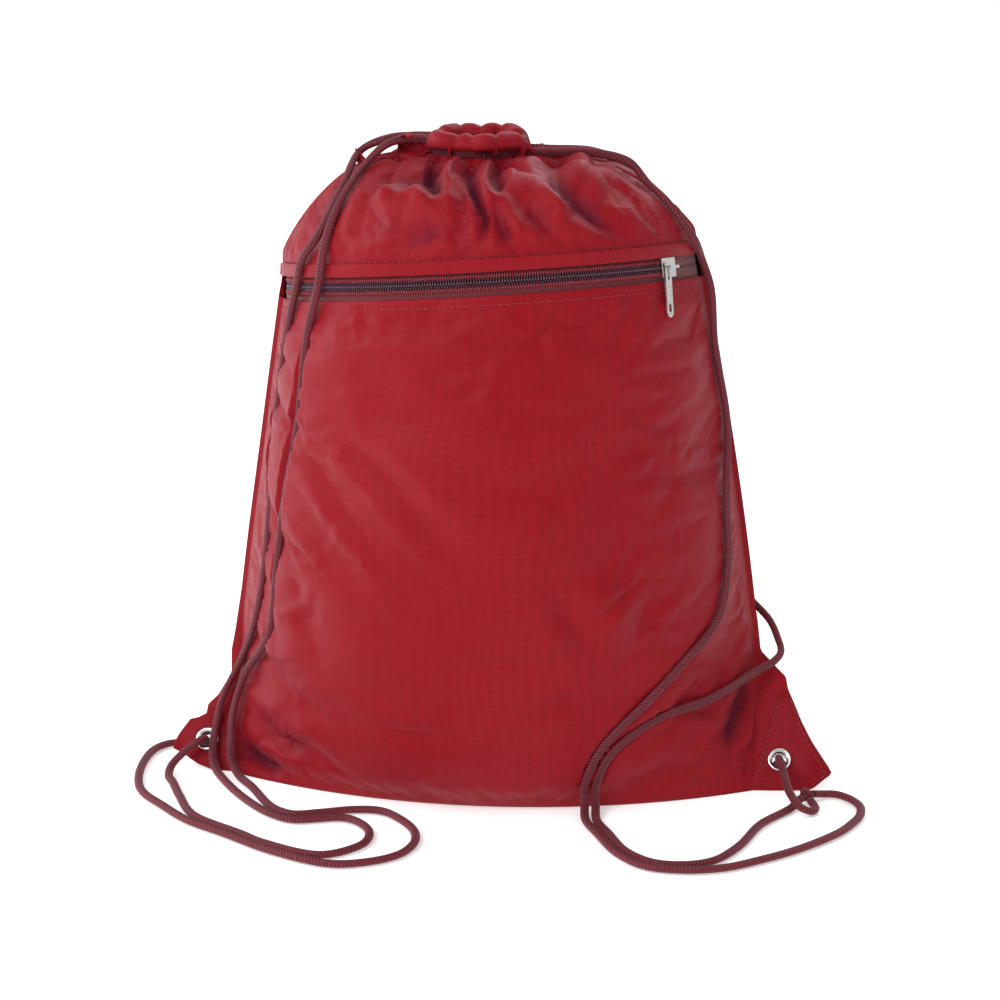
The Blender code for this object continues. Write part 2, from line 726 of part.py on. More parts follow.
RIGHT_CORD_START = (
    (0.168, -0.053, 0.0045), (0.173, -0.0485, 0.003), (0.1795, -0.047, 0.0025), (0.187, -0.053, 0.0025),
    (0.192, -0.063, 0.0025), (0.192, -0.076, 0.0025), (0.188, -0.088, 0.0025), (0.1815, -0.101, 0.0025),
    (0.163, -0.124, 0.0025), (0.1445, -0.1405, 0.0025), (0.1265, -0.153, 0.0025),
    (0.108, -0.1575, 0.0025), (0.089, -0.1545, 0.0025), (0.0745, -0.14, 0.0025),
    (0.062, -0.1135, 0.0025), (0.0555, -0.098, 0.0025), (0.054, -0.0905, 0.003),
    (0.0535, -0.0845, 0.0065), (0.053, -0.0815, 0.014), (0.0615, -0.0825, 0.0355),
    (0.0835, -0.074, 0.058), (0.1005, -0.0605, 0.0745), (0.118, -0.0395, 0.0935),
    (0.1215, -0.028, 0.1195), (0.12, -0.0235, 0.1505), (0.119, -0.0095, 0.189), (0.112, -0.007, 0.228),
    (0.1095, -0.007, 0.258), (0.1045, -0.004, 0.272), (0.101, -0.0145, 0.284), (0.0865, -0.012, 0.303),
    (0.0765, -0.0045, 0.3105), (0.0675, -0.004, 0.3205), (0.054, -0.0045, 0.3245),
    (0.04, -0.004, 0.3255), (0.028, -0.004, 0.325),
)
RIGHT_CORD_END = (
    (0.028, 0.004, 0.325), (0.037, 0.0055, 0.3248), (0.0464, 0.0088, 0.3237), (0.0573, 0.0158, 0.3192),
    (0.0674, 0.0256, 0.311), (0.0757, 0.0357, 0.3007), (0.0823, 0.0421, 0.2862),
    (0.0873, 0.0428, 0.2688), (0.0903, 0.045, 0.2506), (0.0936, 0.0456, 0.2365),
    (0.1006, 0.0466, 0.1984), (0.1076, 0.045, 0.1588), (0.1158, 0.039, 0.1187),
    (0.1262, 0.0262, 0.0902), (0.1425, 0.0135, 0.0755), (0.147, 0.007, 0.068), (0.149, 0.0005, 0.063),
    (0.146, -0.0065, 0.06), (0.1375, -0.0145, 0.057), (0.114, -0.047, 0.0515), (0.087, -0.0695, 0.047),
    (0.0655, -0.08, 0.031), (0.0585, -0.08, 0.0125), (0.059, -0.0835, 0.006), (0.0595, -0.0895, 0.003),
    (0.061, -0.098, 0.0025), (0.0675, -0.113, 0.0025), (0.0785, -0.137, 0.0025), (0.093, -0.15, 0.0025),
    (0.108, -0.151, 0.0025), (0.121, -0.1445, 0.0025), (0.1325, -0.125, 0.0025),
    (0.143, -0.0925, 0.0025), (0.1575, -0.0685, 0.0025), (0.162, -0.06, 0.0045),
)
RIGHT_TAIL = (
    (0.15, -0.025, 0.01), (0.15, -0.0285, 0.0125), (0.15, -0.0335, 0.016), (0.151, -0.041, 0.0165),
    (0.153, -0.051, 0.014), (0.155, -0.061, 0.011), (0.158, -0.07, 0.0085), (0.162, -0.075, 0.0055),
    (0.1675, -0.074, 0.003), (0.1695, -0.068, 0.0025), (0.167, -0.06, 0.0035),
)


def tunnel_route(height, side):
    """Through one channel and back through the other, for a cord whose ends leave on this side."""
    radius = ((RING_WIDTH / 2) ** 2 + (RING_DEPTH / 2) ** 2) / RING_DEPTH
    middle = radius - CHANNEL_DEPTH / 2
    route = []
    for facing, turn in ((-side, side), (side, -side)):
        centre = vec(RING_X, facing * (RING_DEPTH / 2 - radius), height)
        for angle in turn * np.linspace(1, -1, 7) * CHANNEL_ANGLE:
            route.append(centre + middle * vec(math.sin(angle), facing * math.cos(angle), 0))
        if facing == -side:
            end = RING_X - side * (middle * math.sin(CHANNEL_ANGLE) + 0.0026)
            route.append(vec(end, 0, height))
    return route


def smooth_route(route, steps=12):
    """A centripetal Catmull-Rom curve through the route's points."""
    points = np.array([vec(*point) for point in route])
    points = np.concatenate([[2 * points[0] - points[1]], points, [2 * points[-1] - points[-2]]])
    knots = np.concatenate([[0], np.cumsum(np.linalg.norm(np.diff(points, axis=0), axis=1) ** 0.5)])
    curve = []
    for k in range(1, len(points) - 2):
        p, t = points[k - 1 : k + 3], knots[k - 1 : k + 3]
        for at in np.linspace(t[1], t[2], steps, endpoint=False):
            a = [((t[i + 1] - at) * p[i] + (at - t[i]) * p[i + 1]) / (t[i + 1] - t[i]) for i in range(3)]
            b = [((t[i + 2] - at) * a[i] + (at - t[i]) * a[i + 1]) / (t[i + 2] - t[i]) for i in range(2)]
            curve.append(((t[2] - at) * b[0] + (at - t[1]) * b[1]) / (t[2] - t[1]))
    return np.array(curve + [points[-2]])


def make_cord(name, route, count):
    """A tube whose points lie closer together where the route bends."""
    curve = smooth_route(route)
    steps = np.diff(curve, axis=0)
    lengths = np.linalg.norm(steps, axis=1)
    headings = steps / lengths[:, None]
    cosines = np.clip((headings[1:] * headings[:-1]).sum(axis=1), -1, 1)
    turns = np.concatenate([[0], np.arccos(cosines)])
    travel = np.concatenate([[0], np.cumsum(lengths / 0.032 + turns / 0.28)])
    at = np.linspace(0, travel[-1], count)
    points = np.stack([np.interp(at, travel, curve[:, axis]) for axis in range(3)], axis=1)

    data = bpy.data.curves.new(name, "CURVE")
    data.dimensions = "3D"
    data.bevel_depth = CORD / 2
    data.bevel_resolution = 2
    data.use_fill_caps = True
    spline = data.splines.new("POLY")
    spline.points.add(count - 1)
    for target, point in zip(spline.points, points):
        target.co = (*point, 1)
    return add_object(name, data, PARTS, MATERIALS["cord"])


def make_knot(name, centre):
    work = bmesh.new()
    bmesh.ops.create_uvsphere(work, u_segments=16, v_segments=10, radius=KNOT / 2)
    mesh = bpy.data.meshes.new(name)
    work.to_mesh(mesh)
    work.free()
    mesh.shade_smooth()
    add_object(name, mesh, PARTS, MATERIALS["cord"], Matrix.Translation(centre))


def make_cords():
    low = RING_BOTTOM + CHANNEL_WALL + CORD_ROOM + CORD / 2
    high = low + CORD + CORD_ROOM
    left = [*LEFT_CORD_START, *tunnel_route(high, -1), *LEFT_CORD_END]
    right = [*RIGHT_CORD_START, *tunnel_route(low, 1), *RIGHT_CORD_END]
    make_cord("left_cord", left, 94)
    make_cord("right_cord", right, 88)
    make_cord("right_cord_tail", RIGHT_TAIL, 19)
    make_knot("left_knot", LEFT_KNOT)
    make_knot("right_knot", RIGHT_KNOT)
    make_knot("right_tail_knot", RIGHT_TAIL_KNOT)


def trim_floor():
    """The leaning front panel's lower edge is cut level with the floor."""
    mesh = box_mesh("floor_cut", (-0.3, -0.3, -0.02), (0.3, 0.3, 0))
    cutter = helper(add_object("floor_cut", mesh, CUTTERS))
    for panel in ("front_pocket_panel", "left_corner_patch", "right_corner_patch"):
        cut(PARTS.objects[panel], cutter)


clear_scene()
PARTS = new_collection("drawstring_backpack")
CUTTERS = new_collection("cutters")
MATERIALS = {
    "fabric": new_material("red_fabric", (0.36, 0.015, 0.025), 0.6),
    "lining": new_material("lining_fabric", (0.33, 0.015, 0.025), 0.7),
    "tape": new_material("zip_tape", (0.16, 0.015, 0.03), 0.8),
    "coil": new_material("zip_coil", (0.10, 0.012, 0.03), 0.4),
    "cord": new_material("braided_cord", (0.22, 0.03, 0.04), 0.7),
    "metal": new_material("nickel", (0.72, 0.72, 0.70), 0.25, 1.0),
}
make_panels()
make_channels()
tape_face, coil_face = make_zip()
make_puller(*make_slider(tape_face, coil_face))
make_eyelets()
trim_floor()
make_cords()
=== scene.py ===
"""The looks of a drawstring backpack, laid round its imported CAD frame.

Every length is in metres, +Z is up and the front faces -Y, as in the frame.
"""

import math

import bpy
import numpy as np
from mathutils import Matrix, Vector


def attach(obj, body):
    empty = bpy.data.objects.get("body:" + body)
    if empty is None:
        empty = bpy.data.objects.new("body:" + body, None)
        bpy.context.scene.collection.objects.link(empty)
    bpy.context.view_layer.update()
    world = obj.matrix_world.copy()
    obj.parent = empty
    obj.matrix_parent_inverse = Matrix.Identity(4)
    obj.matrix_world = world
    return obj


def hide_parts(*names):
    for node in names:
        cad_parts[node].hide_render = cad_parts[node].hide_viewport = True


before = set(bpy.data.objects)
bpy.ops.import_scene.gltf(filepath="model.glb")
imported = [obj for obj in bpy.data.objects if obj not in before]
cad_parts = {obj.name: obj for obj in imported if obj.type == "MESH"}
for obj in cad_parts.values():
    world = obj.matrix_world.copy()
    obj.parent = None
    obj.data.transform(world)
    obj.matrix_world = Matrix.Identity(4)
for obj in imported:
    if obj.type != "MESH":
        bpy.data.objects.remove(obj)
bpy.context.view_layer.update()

bl_info = {
    "name": "Drawstring Backpack Looks",
    "version": (1, 0, 0),
    "blender": (4, 5, 0),
    "location": "View3D > Sidebar > Backpack",
    "description": "Builds the fabric, cords, zip, eyelets and stitching of a drawstring backpack",
    "category": "Object",
}

# ------------------------------------------------------------------ the filled bag

HEIGHT = 0.334
LAYER = 0.00135  # a panel's outer face lies this far from the seam's own surface
BASE_WIDTH = 0.274
BASE_FRONT = 0.077
BASE_BACK = 0.078
FRONT_BULGE = 0.106
BACK_BULGE = 0.104
SEAM_FORWARD = 0.038
SEAM_LIP = 0.0025
BODY_X = -0.0045
EAR_TOP = 0.068

# The outline of the flat corners and side seams: (height, sideways) pairs from the floor up.
LEFT_OUTLINE = (
    (0.0, -0.1435), (0.003, -0.1545), (0.0095, -0.1685), (0.0143, -0.1664), (0.0215, -0.1608),
    (0.0235, -0.1525), (0.0287, -0.1519), (0.033, -0.1469), (0.044, -0.1405), (0.0547, -0.1412),
    (0.0872, -0.1358), (0.1204, -0.1314), (0.1695, -0.1242), (0.2179, -0.1172), (0.2497, -0.1125),
    (0.2656, -0.1085), (0.2814, -0.1026), (0.2972, -0.093),
)
RIGHT_OUTLINE = (
    (0.0, 0.1585), (0.0016, 0.1678), (0.0069, 0.1774), (0.0222, 0.1665), (0.0314, 0.1605),
    (0.0445, 0.1533), (0.0506, 0.152), (0.0573, 0.145), (0.0634, 0.1385), (0.0798, 0.1365),
    (0.1123, 0.131), (0.1605, 0.1232), (0.1922, 0.1165), (0.2237, 0.112), (0.2471, 0.1099),
    (0.2626, 0.1066), (0.2703, 0.1035), (0.2856, 0.0946), (0.3008, 0.0838),
)

EYELET_X = 0.150
EYELET_Z = 0.0125
EYELET_BORE = 0.0075
EYELET_WIDTH = 0.0124
EYELET_HOLE = 0.0049  # the cloth is left out nearer than this to an eyelet's middle

# The gathered mouth.
RING_X = -0.009
RING_WIDTH = 0.057
RING_DEPTH = 0.040
SHOULDER_RISE = 0.004
SHOULDER_REACH = 0.042
SHOULDER_LIFT = 0.010
CHANNEL_WALL = 0.0007
CHANNEL_ANGLE = math.radians(50)
CASING_HEIGHT = 0.0134
PLEATS = 5
PLEAT_DEPTH = 0.0050

# The zip lies on a tilted cone.
ZIP_HEIGHT = 0.274
ZIP_WIDTH = 0.214
ZIP_FRONT = 0.083
ZIP_BACK = 0.090
ZIP_SIDE_DROP = 0.013
ZIP_TILT = math.radians(4.4)
ZIP_CONE = math.radians(4)
BAND_BELOW = 0.030
BAND_ABOVE = 0.017
LOWER_FOLD = -0.0070
UPPER_FOLD = 0.0052
TAPE_WIDTH = 0.0145
TAPE_OUT = -0.0017
TAPE_THICKNESS = 0.0006
COIL_OUT = 0.0001
COIL_PITCH = 0.00138
SLIDER_ANGLE = math.radians(57)

CORD = 0.0042
CORD_ROOM = 0.0009
LEFT_KNOT = (-0.150, -0.0208, 0.0071)
RIGHT_KNOT = (0.1645, -0.056, 0.0049)
RIGHT_TAIL_KNOT = (0.150, -0.0208, 0.0071)
CHANNEL_DEPTH = CORD + 2 * CORD_ROOM + 2 * CHANNEL_WALL
RING_BOTTOM = HEIGHT - (2 * CORD + 3 * CORD_ROOM + 2 * CHANNEL_WALL)
SKIN_TOP = RING_BOTTOM - 0.0003

# Each cord's route from its first end to the mouth, and from the mouth back to its other end.
LEFT_CORD_START = (
    (-0.151, -0.025, 0.01), (-0.151, -0.0285, 0.0125), (-0.1515, -0.0335, 0.0155),
    (-0.1555, -0.039, 0.014), (-0.161, -0.042, 0.01), (-0.166, -0.0465, 0.005),
    (-0.166, -0.055, 0.0025), (-0.1615, -0.066, 0.0025), (-0.1545, -0.0845, 0.0025),
    (-0.1425, -0.11, 0.0025), (-0.114, -0.133, 0.0025), (-0.1005, -0.144, 0.0025),
    (-0.07, -0.1565, 0.0025), (-0.0525, -0.1415, 0.0025), (-0.0505, -0.1265, 0.0025),
    (-0.0555, -0.1145, 0.0025), (-0.066, -0.106, 0.0025), (-0.0915, -0.111, 0.0025),
    (-0.1035, -0.1045, 0.0025), (-0.1175, -0.089, 0.0025), (-0.135, -0.062, 0.003),
    (-0.143, -0.047, 0.005), (-0.1455, -0.0395, 0.0095), (-0.146, -0.033, 0.0165),
    (-0.1455, -0.0275, 0.0225), (-0.143, -0.0225, 0.0345), (-0.1355, -0.012, 0.0505),
    (-0.1245, -0.0255, 0.078), (-0.118, -0.0315, 0.1075), (-0.114, -0.03, 0.146),
    (-0.112, -0.0235, 0.182), (-0.105, -0.028, 0.229), (-0.098, -0.0355, 0.259),
    (-0.094, -0.04, 0.2745), (-0.0845, -0.044, 0.289), (-0.0755, -0.027, 0.309),
    (-0.069, 0.002, 0.3235), (-0.056, 0.0035, 0.329), (-0.044, 0.0035, 0.3305),
)
LEFT_CORD_END = (
    (-0.044, -0.0035, 0.3305), (-0.055, -0.0075, 0.328), (-0.0645, -0.014, 0.3195),
    (-0.0735, -0.036, 0.3065), (-0.08, -0.0515, 0.2875), (-0.084, -0.054, 0.2635),
    (-0.09, -0.051, 0.239), (-0.096, -0.051, 0.1895), (-0.103, -0.047, 0.1555),
    (-0.1085, -0.0455, 0.1165), (-0.1135, -0.0435, 0.079), (-0.131, -0.0245, 0.0475),
    (-0.136, -0.03, 0.03), (-0.136, -0.0385, 0.016), (-0.1345, -0.0445, 0.008),
    (-0.13, -0.0525, 0.0035), (-0.12, -0.0675, 0.0025), (-0.104, -0.096, 0.0025),
    (-0.0925, -0.1035, 0.0025), (-0.0795, -0.1, 0.0025), (-0.062, -0.094, 0.0025),
    (-0.049, -0.0945, 0.0025), (-0.037, -0.106, 0.0025), (-0.0285, -0.1215, 0.0025),
    (-0.027, -0.1375, 0.0025), (-0.0325, -0.1525, 0.0025), (-0.0455, -0.163, 0.0025),
    (-0.0635, -0.1675, 0.0025), (-0.0945, -0.154, 0.0025), (-0.124, -0.132, 0.0025),
    (-0.1445, -0.117, 0.0025), (-0.161, -0.098, 0.0025), (-0.1745, -0.0805, 0.0025),
    (-0.1805, -0.0625, 0.0025), (-0.183, -0.034, 0.0025), (-0.1805, -0.0155, 0.0025),
    (-0.174, -0.007, 0.0025), (-0.1635, -0.0055, 0.0025), (-0.156, -0.0095, 0.004),
    (-0.1525, -0.016, 0.0055),
)
RIGHT_CORD_START = (
    (0.168, -0.053, 0.0045), (0.173, -0.0485, 0.003), (0.1795, -0.047, 0.0025), (0.187, -0.053, 0.0025),
    (0.192, -0.063, 0.0025), (0.192, -0.076, 0.0025), (0.188, -0.088, 0.0025), (0.1815, -0.101, 0.0025),
    (0.163, -0.124, 0.0025), (0.1445, -0.1405, 0.0025), (0.1265, -0.153, 0.0025),
    (0.108, -0.1575, 0.0025), (0.089, -0.1545, 0.0025), (0.0745, -0.14, 0.0025),
    (0.062, -0.1135, 0.0025), (0.0555, -0.098, 0.0025), (0.054, -0.0905, 0.003),
    (0.0535, -0.0845, 0.0065), (0.053, -0.0815, 0.014), (0.0615, -0.0825, 0.0355),
    (0.0835, -0.074, 0.058), (0.1005, -0.0605, 0.0745), (0.118, -0.0395, 0.0935),
    (0.1215, -0.028, 0.1195), (0.12, -0.0235, 0.1505), (0.119, -0.0095, 0.189), (0.112, -0.007, 0.228),
    (0.1095, -0.007, 0.258), (0.1045, -0.004, 0.272), (0.101, -0.0145, 0.284), (0.0865, -0.012, 0.303),
    (0.0765, -0.0045, 0.3105), (0.0675, -0.004, 0.3205), (0.054, -0.0045, 0.3245),
    (0.04, -0.004, 0.3255), (0.028, -0.004, 0.325),
)
RIGHT_CORD_END = (
    (0.028, 0.004, 0.325), (0.037, 0.0055, 0.3248), (0.0464, 0.0088, 0.3237), (0.0573, 0.0158, 0.3192),
    (0.0674, 0.0256, 0.311), (0.0757, 0.0357, 0.3007), (0.0823, 0.0421, 0.2862),
    (0.0873, 0.0428, 0.2688), (0.0903, 0.045, 0.2506), (0.0936, 0.0456, 0.2365),
    (0.1006, 0.0466, 0.1984), (0.1076, 0.045, 0.1588), (0.1158, 0.039, 0.1187),
    (0.1262, 0.0262, 0.0902), (0.1425, 0.0135, 0.0755), (0.147, 0.007, 0.068), (0.149, 0.0005, 0.063),
    (0.146, -0.0065, 0.06), (0.1375, -0.0145, 0.057), (0.114, -0.047, 0.0515), (0.087, -0.0695, 0.047),
    (0.0655, -0.08, 0.031), (0.0585, -0.08, 0.0125), (0.059, -0.0835, 0.006), (0.0595, -0.0895, 0.003),
    (0.061, -0.098, 0.0025), (0.0675, -0.113, 0.0025), (0.0785, -0.137, 0.0025), (0.093, -0.15, 0.0025),
    (0.108, -0.151, 0.0025), (0.121, -0.1445, 0.0025), (0.1325, -0.125, 0.0025),
    (0.143, -0.0925, 0.0025), (0.1575, -0.0685, 0.0025), (0.162, -0.06, 0.0045),
)
RIGHT_TAIL = (
    (0.15, -0.025, 0.01), (0.15, -0.0285, 0.0125), (0.15, -0.0335, 0.016), (0.151, -0.041, 0.0165),
    (0.153, -0.051, 0.014), (0.155, -0.061, 0.011), (0.158, -0.07, 0.0085), (0.162, -0.075, 0.0055),
    (0.1675, -0.074, 0.003), (0.1695, -0.068, 0.0025), (0.167, -0.06, 0.0035),
)

# ------------------------------------------------------------------ folds of the cloth

# Each fold is a line of (sideways, height) points, its width, its height out of the cloth (below
# zero for a valley) and how far it leans to its right side.
FRONT_FOLDS = (
    (((-0.0115, 0.323), (-0.0045, 0.314), (0.0005, 0.305), (0.0015, 0.291)), 0.0024, -0.0068, 0.35),
    (((0.0005, 0.323), (0.0045, 0.3185), (0.0105, 0.3145)), 0.0030, -0.0062, 0.2),
    (((0.0045, 0.3125), (0.009, 0.303), (0.0165, 0.290)), 0.0034, -0.0050, -0.3),
    (((-0.033, 0.322), (-0.029, 0.3185), (-0.0225, 0.313)), 0.0042, -0.0066, 0.3),
    (((-0.024, 0.322), (-0.0185, 0.3165), (-0.0165, 0.305)), 0.0034, 0.0042, 0.2),
    (((-0.066, 0.3055), (-0.050, 0.309), (-0.036, 0.3105), (-0.012, 0.307)), 0.0046, 0.0036, -0.3),
    (((-0.058, 0.313), (-0.042, 0.3165), (-0.030, 0.316)), 0.0040, -0.0030, 0.2),
    (((0.024, 0.3225), (0.044, 0.3125), (0.067, 0.2945)), 0.0036, -0.0050, -0.35),
    (((0.034, 0.3225), (0.060, 0.311), (0.082, 0.292)), 0.0050, 0.0036, 0.2),
    (((0.014, 0.322), (0.027, 0.3165), (0.038, 0.307), (0.033, 0.300)), 0.0036, 0.0040, -0.3),
    (((0.020, 0.3085), (0.030, 0.3015), (0.036, 0.2945)), 0.0038, -0.0034, 0.2),
    (((-0.072, 0.310), (-0.083, 0.297), (-0.090, 0.282)), 0.0046, -0.0044, 0.2),
    (((-0.048, 0.305), (-0.056, 0.297), (-0.068, 0.291)), 0.0060, -0.0026, 0.2),
    (((-0.020, 0.302), (-0.026, 0.295), (-0.038, 0.290)), 0.0052, -0.0026, -0.2),
    (((-0.091, 0.186), (-0.071, 0.160), (-0.050, 0.135)), 0.0058, -0.0036, 0.4),
    (((-0.066, 0.196), (-0.034, 0.164), (-0.004, 0.130)), 0.0070, -0.0040, 0.45),
    (((-0.052, 0.205), (-0.018, 0.166), (0.008, 0.140)), 0.0120, 0.0030, 0.0),
    (((0.036, 0.128), (0.052, 0.096), (0.067, 0.069)), 0.0070, -0.0036, 0.3),
    (((0.086, 0.120), (0.077, 0.092), (0.067, 0.069)), 0.0070, -0.0030, -0.3),
    (((0.060, 0.135), (0.068, 0.100), (0.070, 0.072)), 0.0100, 0.0030, 0.0),
    (((0.012, 0.235), (0.020, 0.180), (0.036, 0.120)), 0.0160, 0.0022, 0.0),
    (((0.060, 0.240), (0.058, 0.190), (0.064, 0.150)), 0.0130, -0.0022, 0.2),
    (((0.098, 0.215), (0.092, 0.180), (0.096, 0.150)), 0.0090, -0.0026, 0.2),
    (((-0.100, 0.120), (-0.086, 0.090), (-0.078, 0.060)), 0.0090, -0.0028, 0.3),
    (((-0.118, 0.066), (-0.098, 0.050), (-0.070, 0.040)), 0.0070, -0.0030, 0.3),
    (((-0.125, 0.030), (-0.108, 0.024), (-0.086, 0.020)), 0.0050, -0.0032, 0.2),
    (((-0.136, 0.013), (-0.120, 0.009), (-0.104, 0.004)), 0.0052, -0.0060, 0.2),
    (((0.136, 0.060), (0.130, 0.040), (0.122, 0.018)), 0.0044, -0.0052, -0.3),
    (((0.142, 0.054), (0.137, 0.036), (0.131, 0.016)), 0.0036, 0.0032, 0.0),
    (((0.118, 0.072), (0.100, 0.052), (0.090, 0.030)), 0.0080, -0.0030, 0.3),
    (((0.110, 0.030), (0.090, 0.018), (0.066, 0.012)), 0.0060, -0.0028, 0.2),
)
BACK_FOLDS = (
    (((-0.020, 0.322), (-0.030, 0.308), (-0.046, 0.286)), 0.0040, -0.0058, 0.3),
    (((-0.002, 0.322), (-0.004, 0.306), (-0.008, 0.270)), 0.0034, -0.0060, -0.3),
    (((0.008, 0.322), (0.016, 0.306), (0.020, 0.280)), 0.0040, -0.0052, 0.3),
    (((0.018, 0.322), (0.040, 0.310), (0.064, 0.284)), 0.0044, -0.0050, 0.2),
    (((-0.034, 0.320), (-0.056, 0.307), (-0.076, 0.282)), 0.0046, -0.0044, 0.2),
    (((0.002, 0.318), (0.005, 0.300), (0.006, 0.262)), 0.0060, 0.0036, 0.0),
    (((-0.080, 0.240), (-0.060, 0.190), (-0.052, 0.140)), 0.0090, -0.0036, 0.3),
    (((0.080, 0.245), (0.062, 0.200), (0.046, 0.150)), 0.0090, -0.0034, -0.3),
    (((-0.020, 0.220), (-0.010, 0.160), (-0.016, 0.110)), 0.0130, 0.0028, 0.0),
    (((0.030, 0.180), (0.020, 0.130), (0.030, 0.080)), 0.0100, -0.0030, 0.3),
    (((-0.128, 0.066), (-0.100, 0.090), (-0.066, 0.106)), 0.0080, -0.0040, 0.2),
    (((0.126, 0.070), (0.100, 0.092), (0.064, 0.104)), 0.0080, -0.0040, 0.2),
    (((-0.132, 0.040), (-0.100, 0.044), (-0.060, 0.036)), 0.0070, -0.0036, 0.2),
    (((0.130, 0.038), (0.100, 0.044), (0.066, 0.036)), 0.0070, -0.0036, 0.2),
)
SEED = 11


# ------------------------------------------------------------------ settings


class FabricSettings(bpy.types.PropertyGroup):
    """What a user would change about the fabric."""

    colour: bpy.props.FloatVectorProperty(
        name="Fabric Colour", description="Dye of the polyester", subtype="COLOR", size=3,
        min=0, max=1, default=(0.235, 0.0035, 0.0085),
    )
    # painted shade: this fold colour stands for the shade deep in a fold, not for the dye
    fold_shade_colour: bpy.props.FloatVectorProperty(
        name="Fold Colour", description="Colour that the dye takes deep in a fold", subtype="COLOR",
        size=3, min=0, max=1, default=(0.050, 0.002, 0.014),
    )
    spacing: bpy.props.FloatProperty(
        name="Grid Spacing", description="Distance between neighbouring points of the cloth",
        unit="LENGTH", default=0.0018, min=0.001, max=0.01,
    )
    slack: bpy.props.FloatProperty(
        name="Slack", description="Share by which the cloth is cut larger than the filled form",
        subtype="FACTOR", default=0.022, min=0, max=0.1,
    )
    travel: bpy.props.FloatProperty(
        name="Most Travel", description="How far a point may move while the cloth settles",
        unit="LENGTH", default=0.0045, min=0, max=0.02,
    )
    wear: bpy.props.FloatProperty(
        name="Wear", description="Strength of the paler, rubbed patches", subtype="FACTOR",
        default=0.35, min=0, max=1,
    )


class CordSettings(bpy.types.PropertyGroup):
    """What a user would change about the cords."""

    colour: bpy.props.FloatVectorProperty(
        name="Cord Colour", description="Colour of the braid's yarn", subtype="COLOR", size=3,
        min=0, max=1, default=(0.215, 0.020, 0.032),
    )
    # painted shade: this dark colour between the strands stands for the shade in the braid's grooves
    gap_shade_colour: bpy.props.FloatVectorProperty(
        name="Gap Colour", description="Colour between the strands", subtype="COLOR", size=3,
        min=0, max=1, default=(0.022, 0.002, 0.008),
    )
    half_width: bpy.props.FloatProperty(
        name="Half Width", description="Half the braid's width, across its flat face",
        unit="LENGTH", default=0.00225, min=0.001, max=0.006,
    )
    half_height: bpy.props.FloatProperty(
        name="Half Height", description="Half the braid's thickness", unit="LENGTH",
        default=0.00185, min=0.001, max=0.006,
    )
    braid_pitch: bpy.props.FloatProperty(
        name="Braid Pitch", description="Length of one repeat of the braid", unit="LENGTH",
        default=0.00180, min=0.001, max=0.01,
    )


class ZipSettings(bpy.types.PropertyGroup):
    """What a user would change about the zip and the stitching."""

    tape_colour: bpy.props.FloatVectorProperty(
        name="Tape Colour", description="Colour of the woven tape", subtype="COLOR", size=3,
        min=0, max=1, default=(0.13, 0.004, 0.009),
    )
    coil_colour: bpy.props.FloatVectorProperty(
        name="Coil Colour", description="Colour of the coil's heads", subtype="COLOR", size=3,
        min=0, max=1, default=(0.13, 0.060, 0.085),
    )
    thread_colour: bpy.props.FloatVectorProperty(
        name="Thread Colour", description="Colour of the sewing thread", subtype="COLOR", size=3,
        min=0, max=1, default=(0.30, 0.020, 0.032),
    )
    stitch_length: bpy.props.FloatProperty(
        name="Stitch Length", description="Length of one stitch of the topstitching",
        unit="LENGTH", default=0.0026, min=0.001, max=0.01,
    )


class StageSettings(bpy.types.PropertyGroup):
    """Where the camera stands and how strong the lights are."""

    azimuth: bpy.props.FloatProperty(
        name="Azimuth", description="How far the camera stands to the right of the front",
        subtype="ANGLE", default=math.radians(6),
    )
    elevation: bpy.props.FloatProperty(
        name="Elevation", description="How far the camera looks down", subtype="ANGLE",
        default=math.radians(16),
    )
    distance: bpy.props.FloatProperty(
        name="Distance", description="From the camera to the point it looks at", unit="LENGTH",
        default=1.8, min=0.2, max=20,
    )
    view_width: bpy.props.FloatProperty(
        name="View Width", description="Width of the view at that point", unit="LENGTH",
        default=0.52, min=0.1, max=5,
    )
    key_power: bpy.props.FloatProperty(
        name="Key Light", description="Power of the softbox at the front left", default=20.5,
        min=0, max=500,
    )
    rim_power: bpy.props.FloatProperty(
        name="Side Light", description="Power of the tall softbox at the far left", default=14.0,
        min=0, max=500,
    )
    room_light: bpy.props.FloatProperty(
        name="Room Light", description="Brightness of the white room", default=0.66, min=0, max=5,
    )


# ------------------------------------------------------------------ curves


def vec(*values):
    return np.array(values, float)


def unit(direction):
    """A direction, or each row of directions, at length 1."""
    length = np.linalg.norm(direction, axis=-1, keepdims=True)
    return direction / np.maximum(length, 1e-12)


def smooth(low, high, value):
    """0 below low and 1 above high, with an even start and finish."""
    t = np.clip((value - low) / (high - low), 0, 1)
    return t * t * (3 - 2 * t)


def bezier(p0, p1, p2, p3, t):
    """A cubic curve from p0 to p3, pulled towards p1 and p2."""
    s = 1 - t
    return s**3 * p0 + 3 * s * s * t * p1 + 3 * s * t * t * p2 + t**3 * p3


def arc_through(start, crest, end, shares):
    """Points at the given shares of the circle's arc that runs from start over crest to end."""
    a, b = start - crest, end - crest
    normal = np.cross(a, b)
    centre = crest + np.cross(a @ a * b - b @ b * a, normal) / (2 * normal @ normal)
    first = start - centre
    side = np.cross(unit(normal), first)

    def turn_to(point):
        return math.atan2((point - centre) @ side, (point - centre) @ first) % (2 * math.pi)

    sweep = turn_to(end)
    if turn_to(crest) > sweep:
        side, sweep = -side, 2 * math.pi - sweep
    turns = (sweep * shares)[:, None]
    return centre + np.cos(turns) * first + np.sin(turns) * side


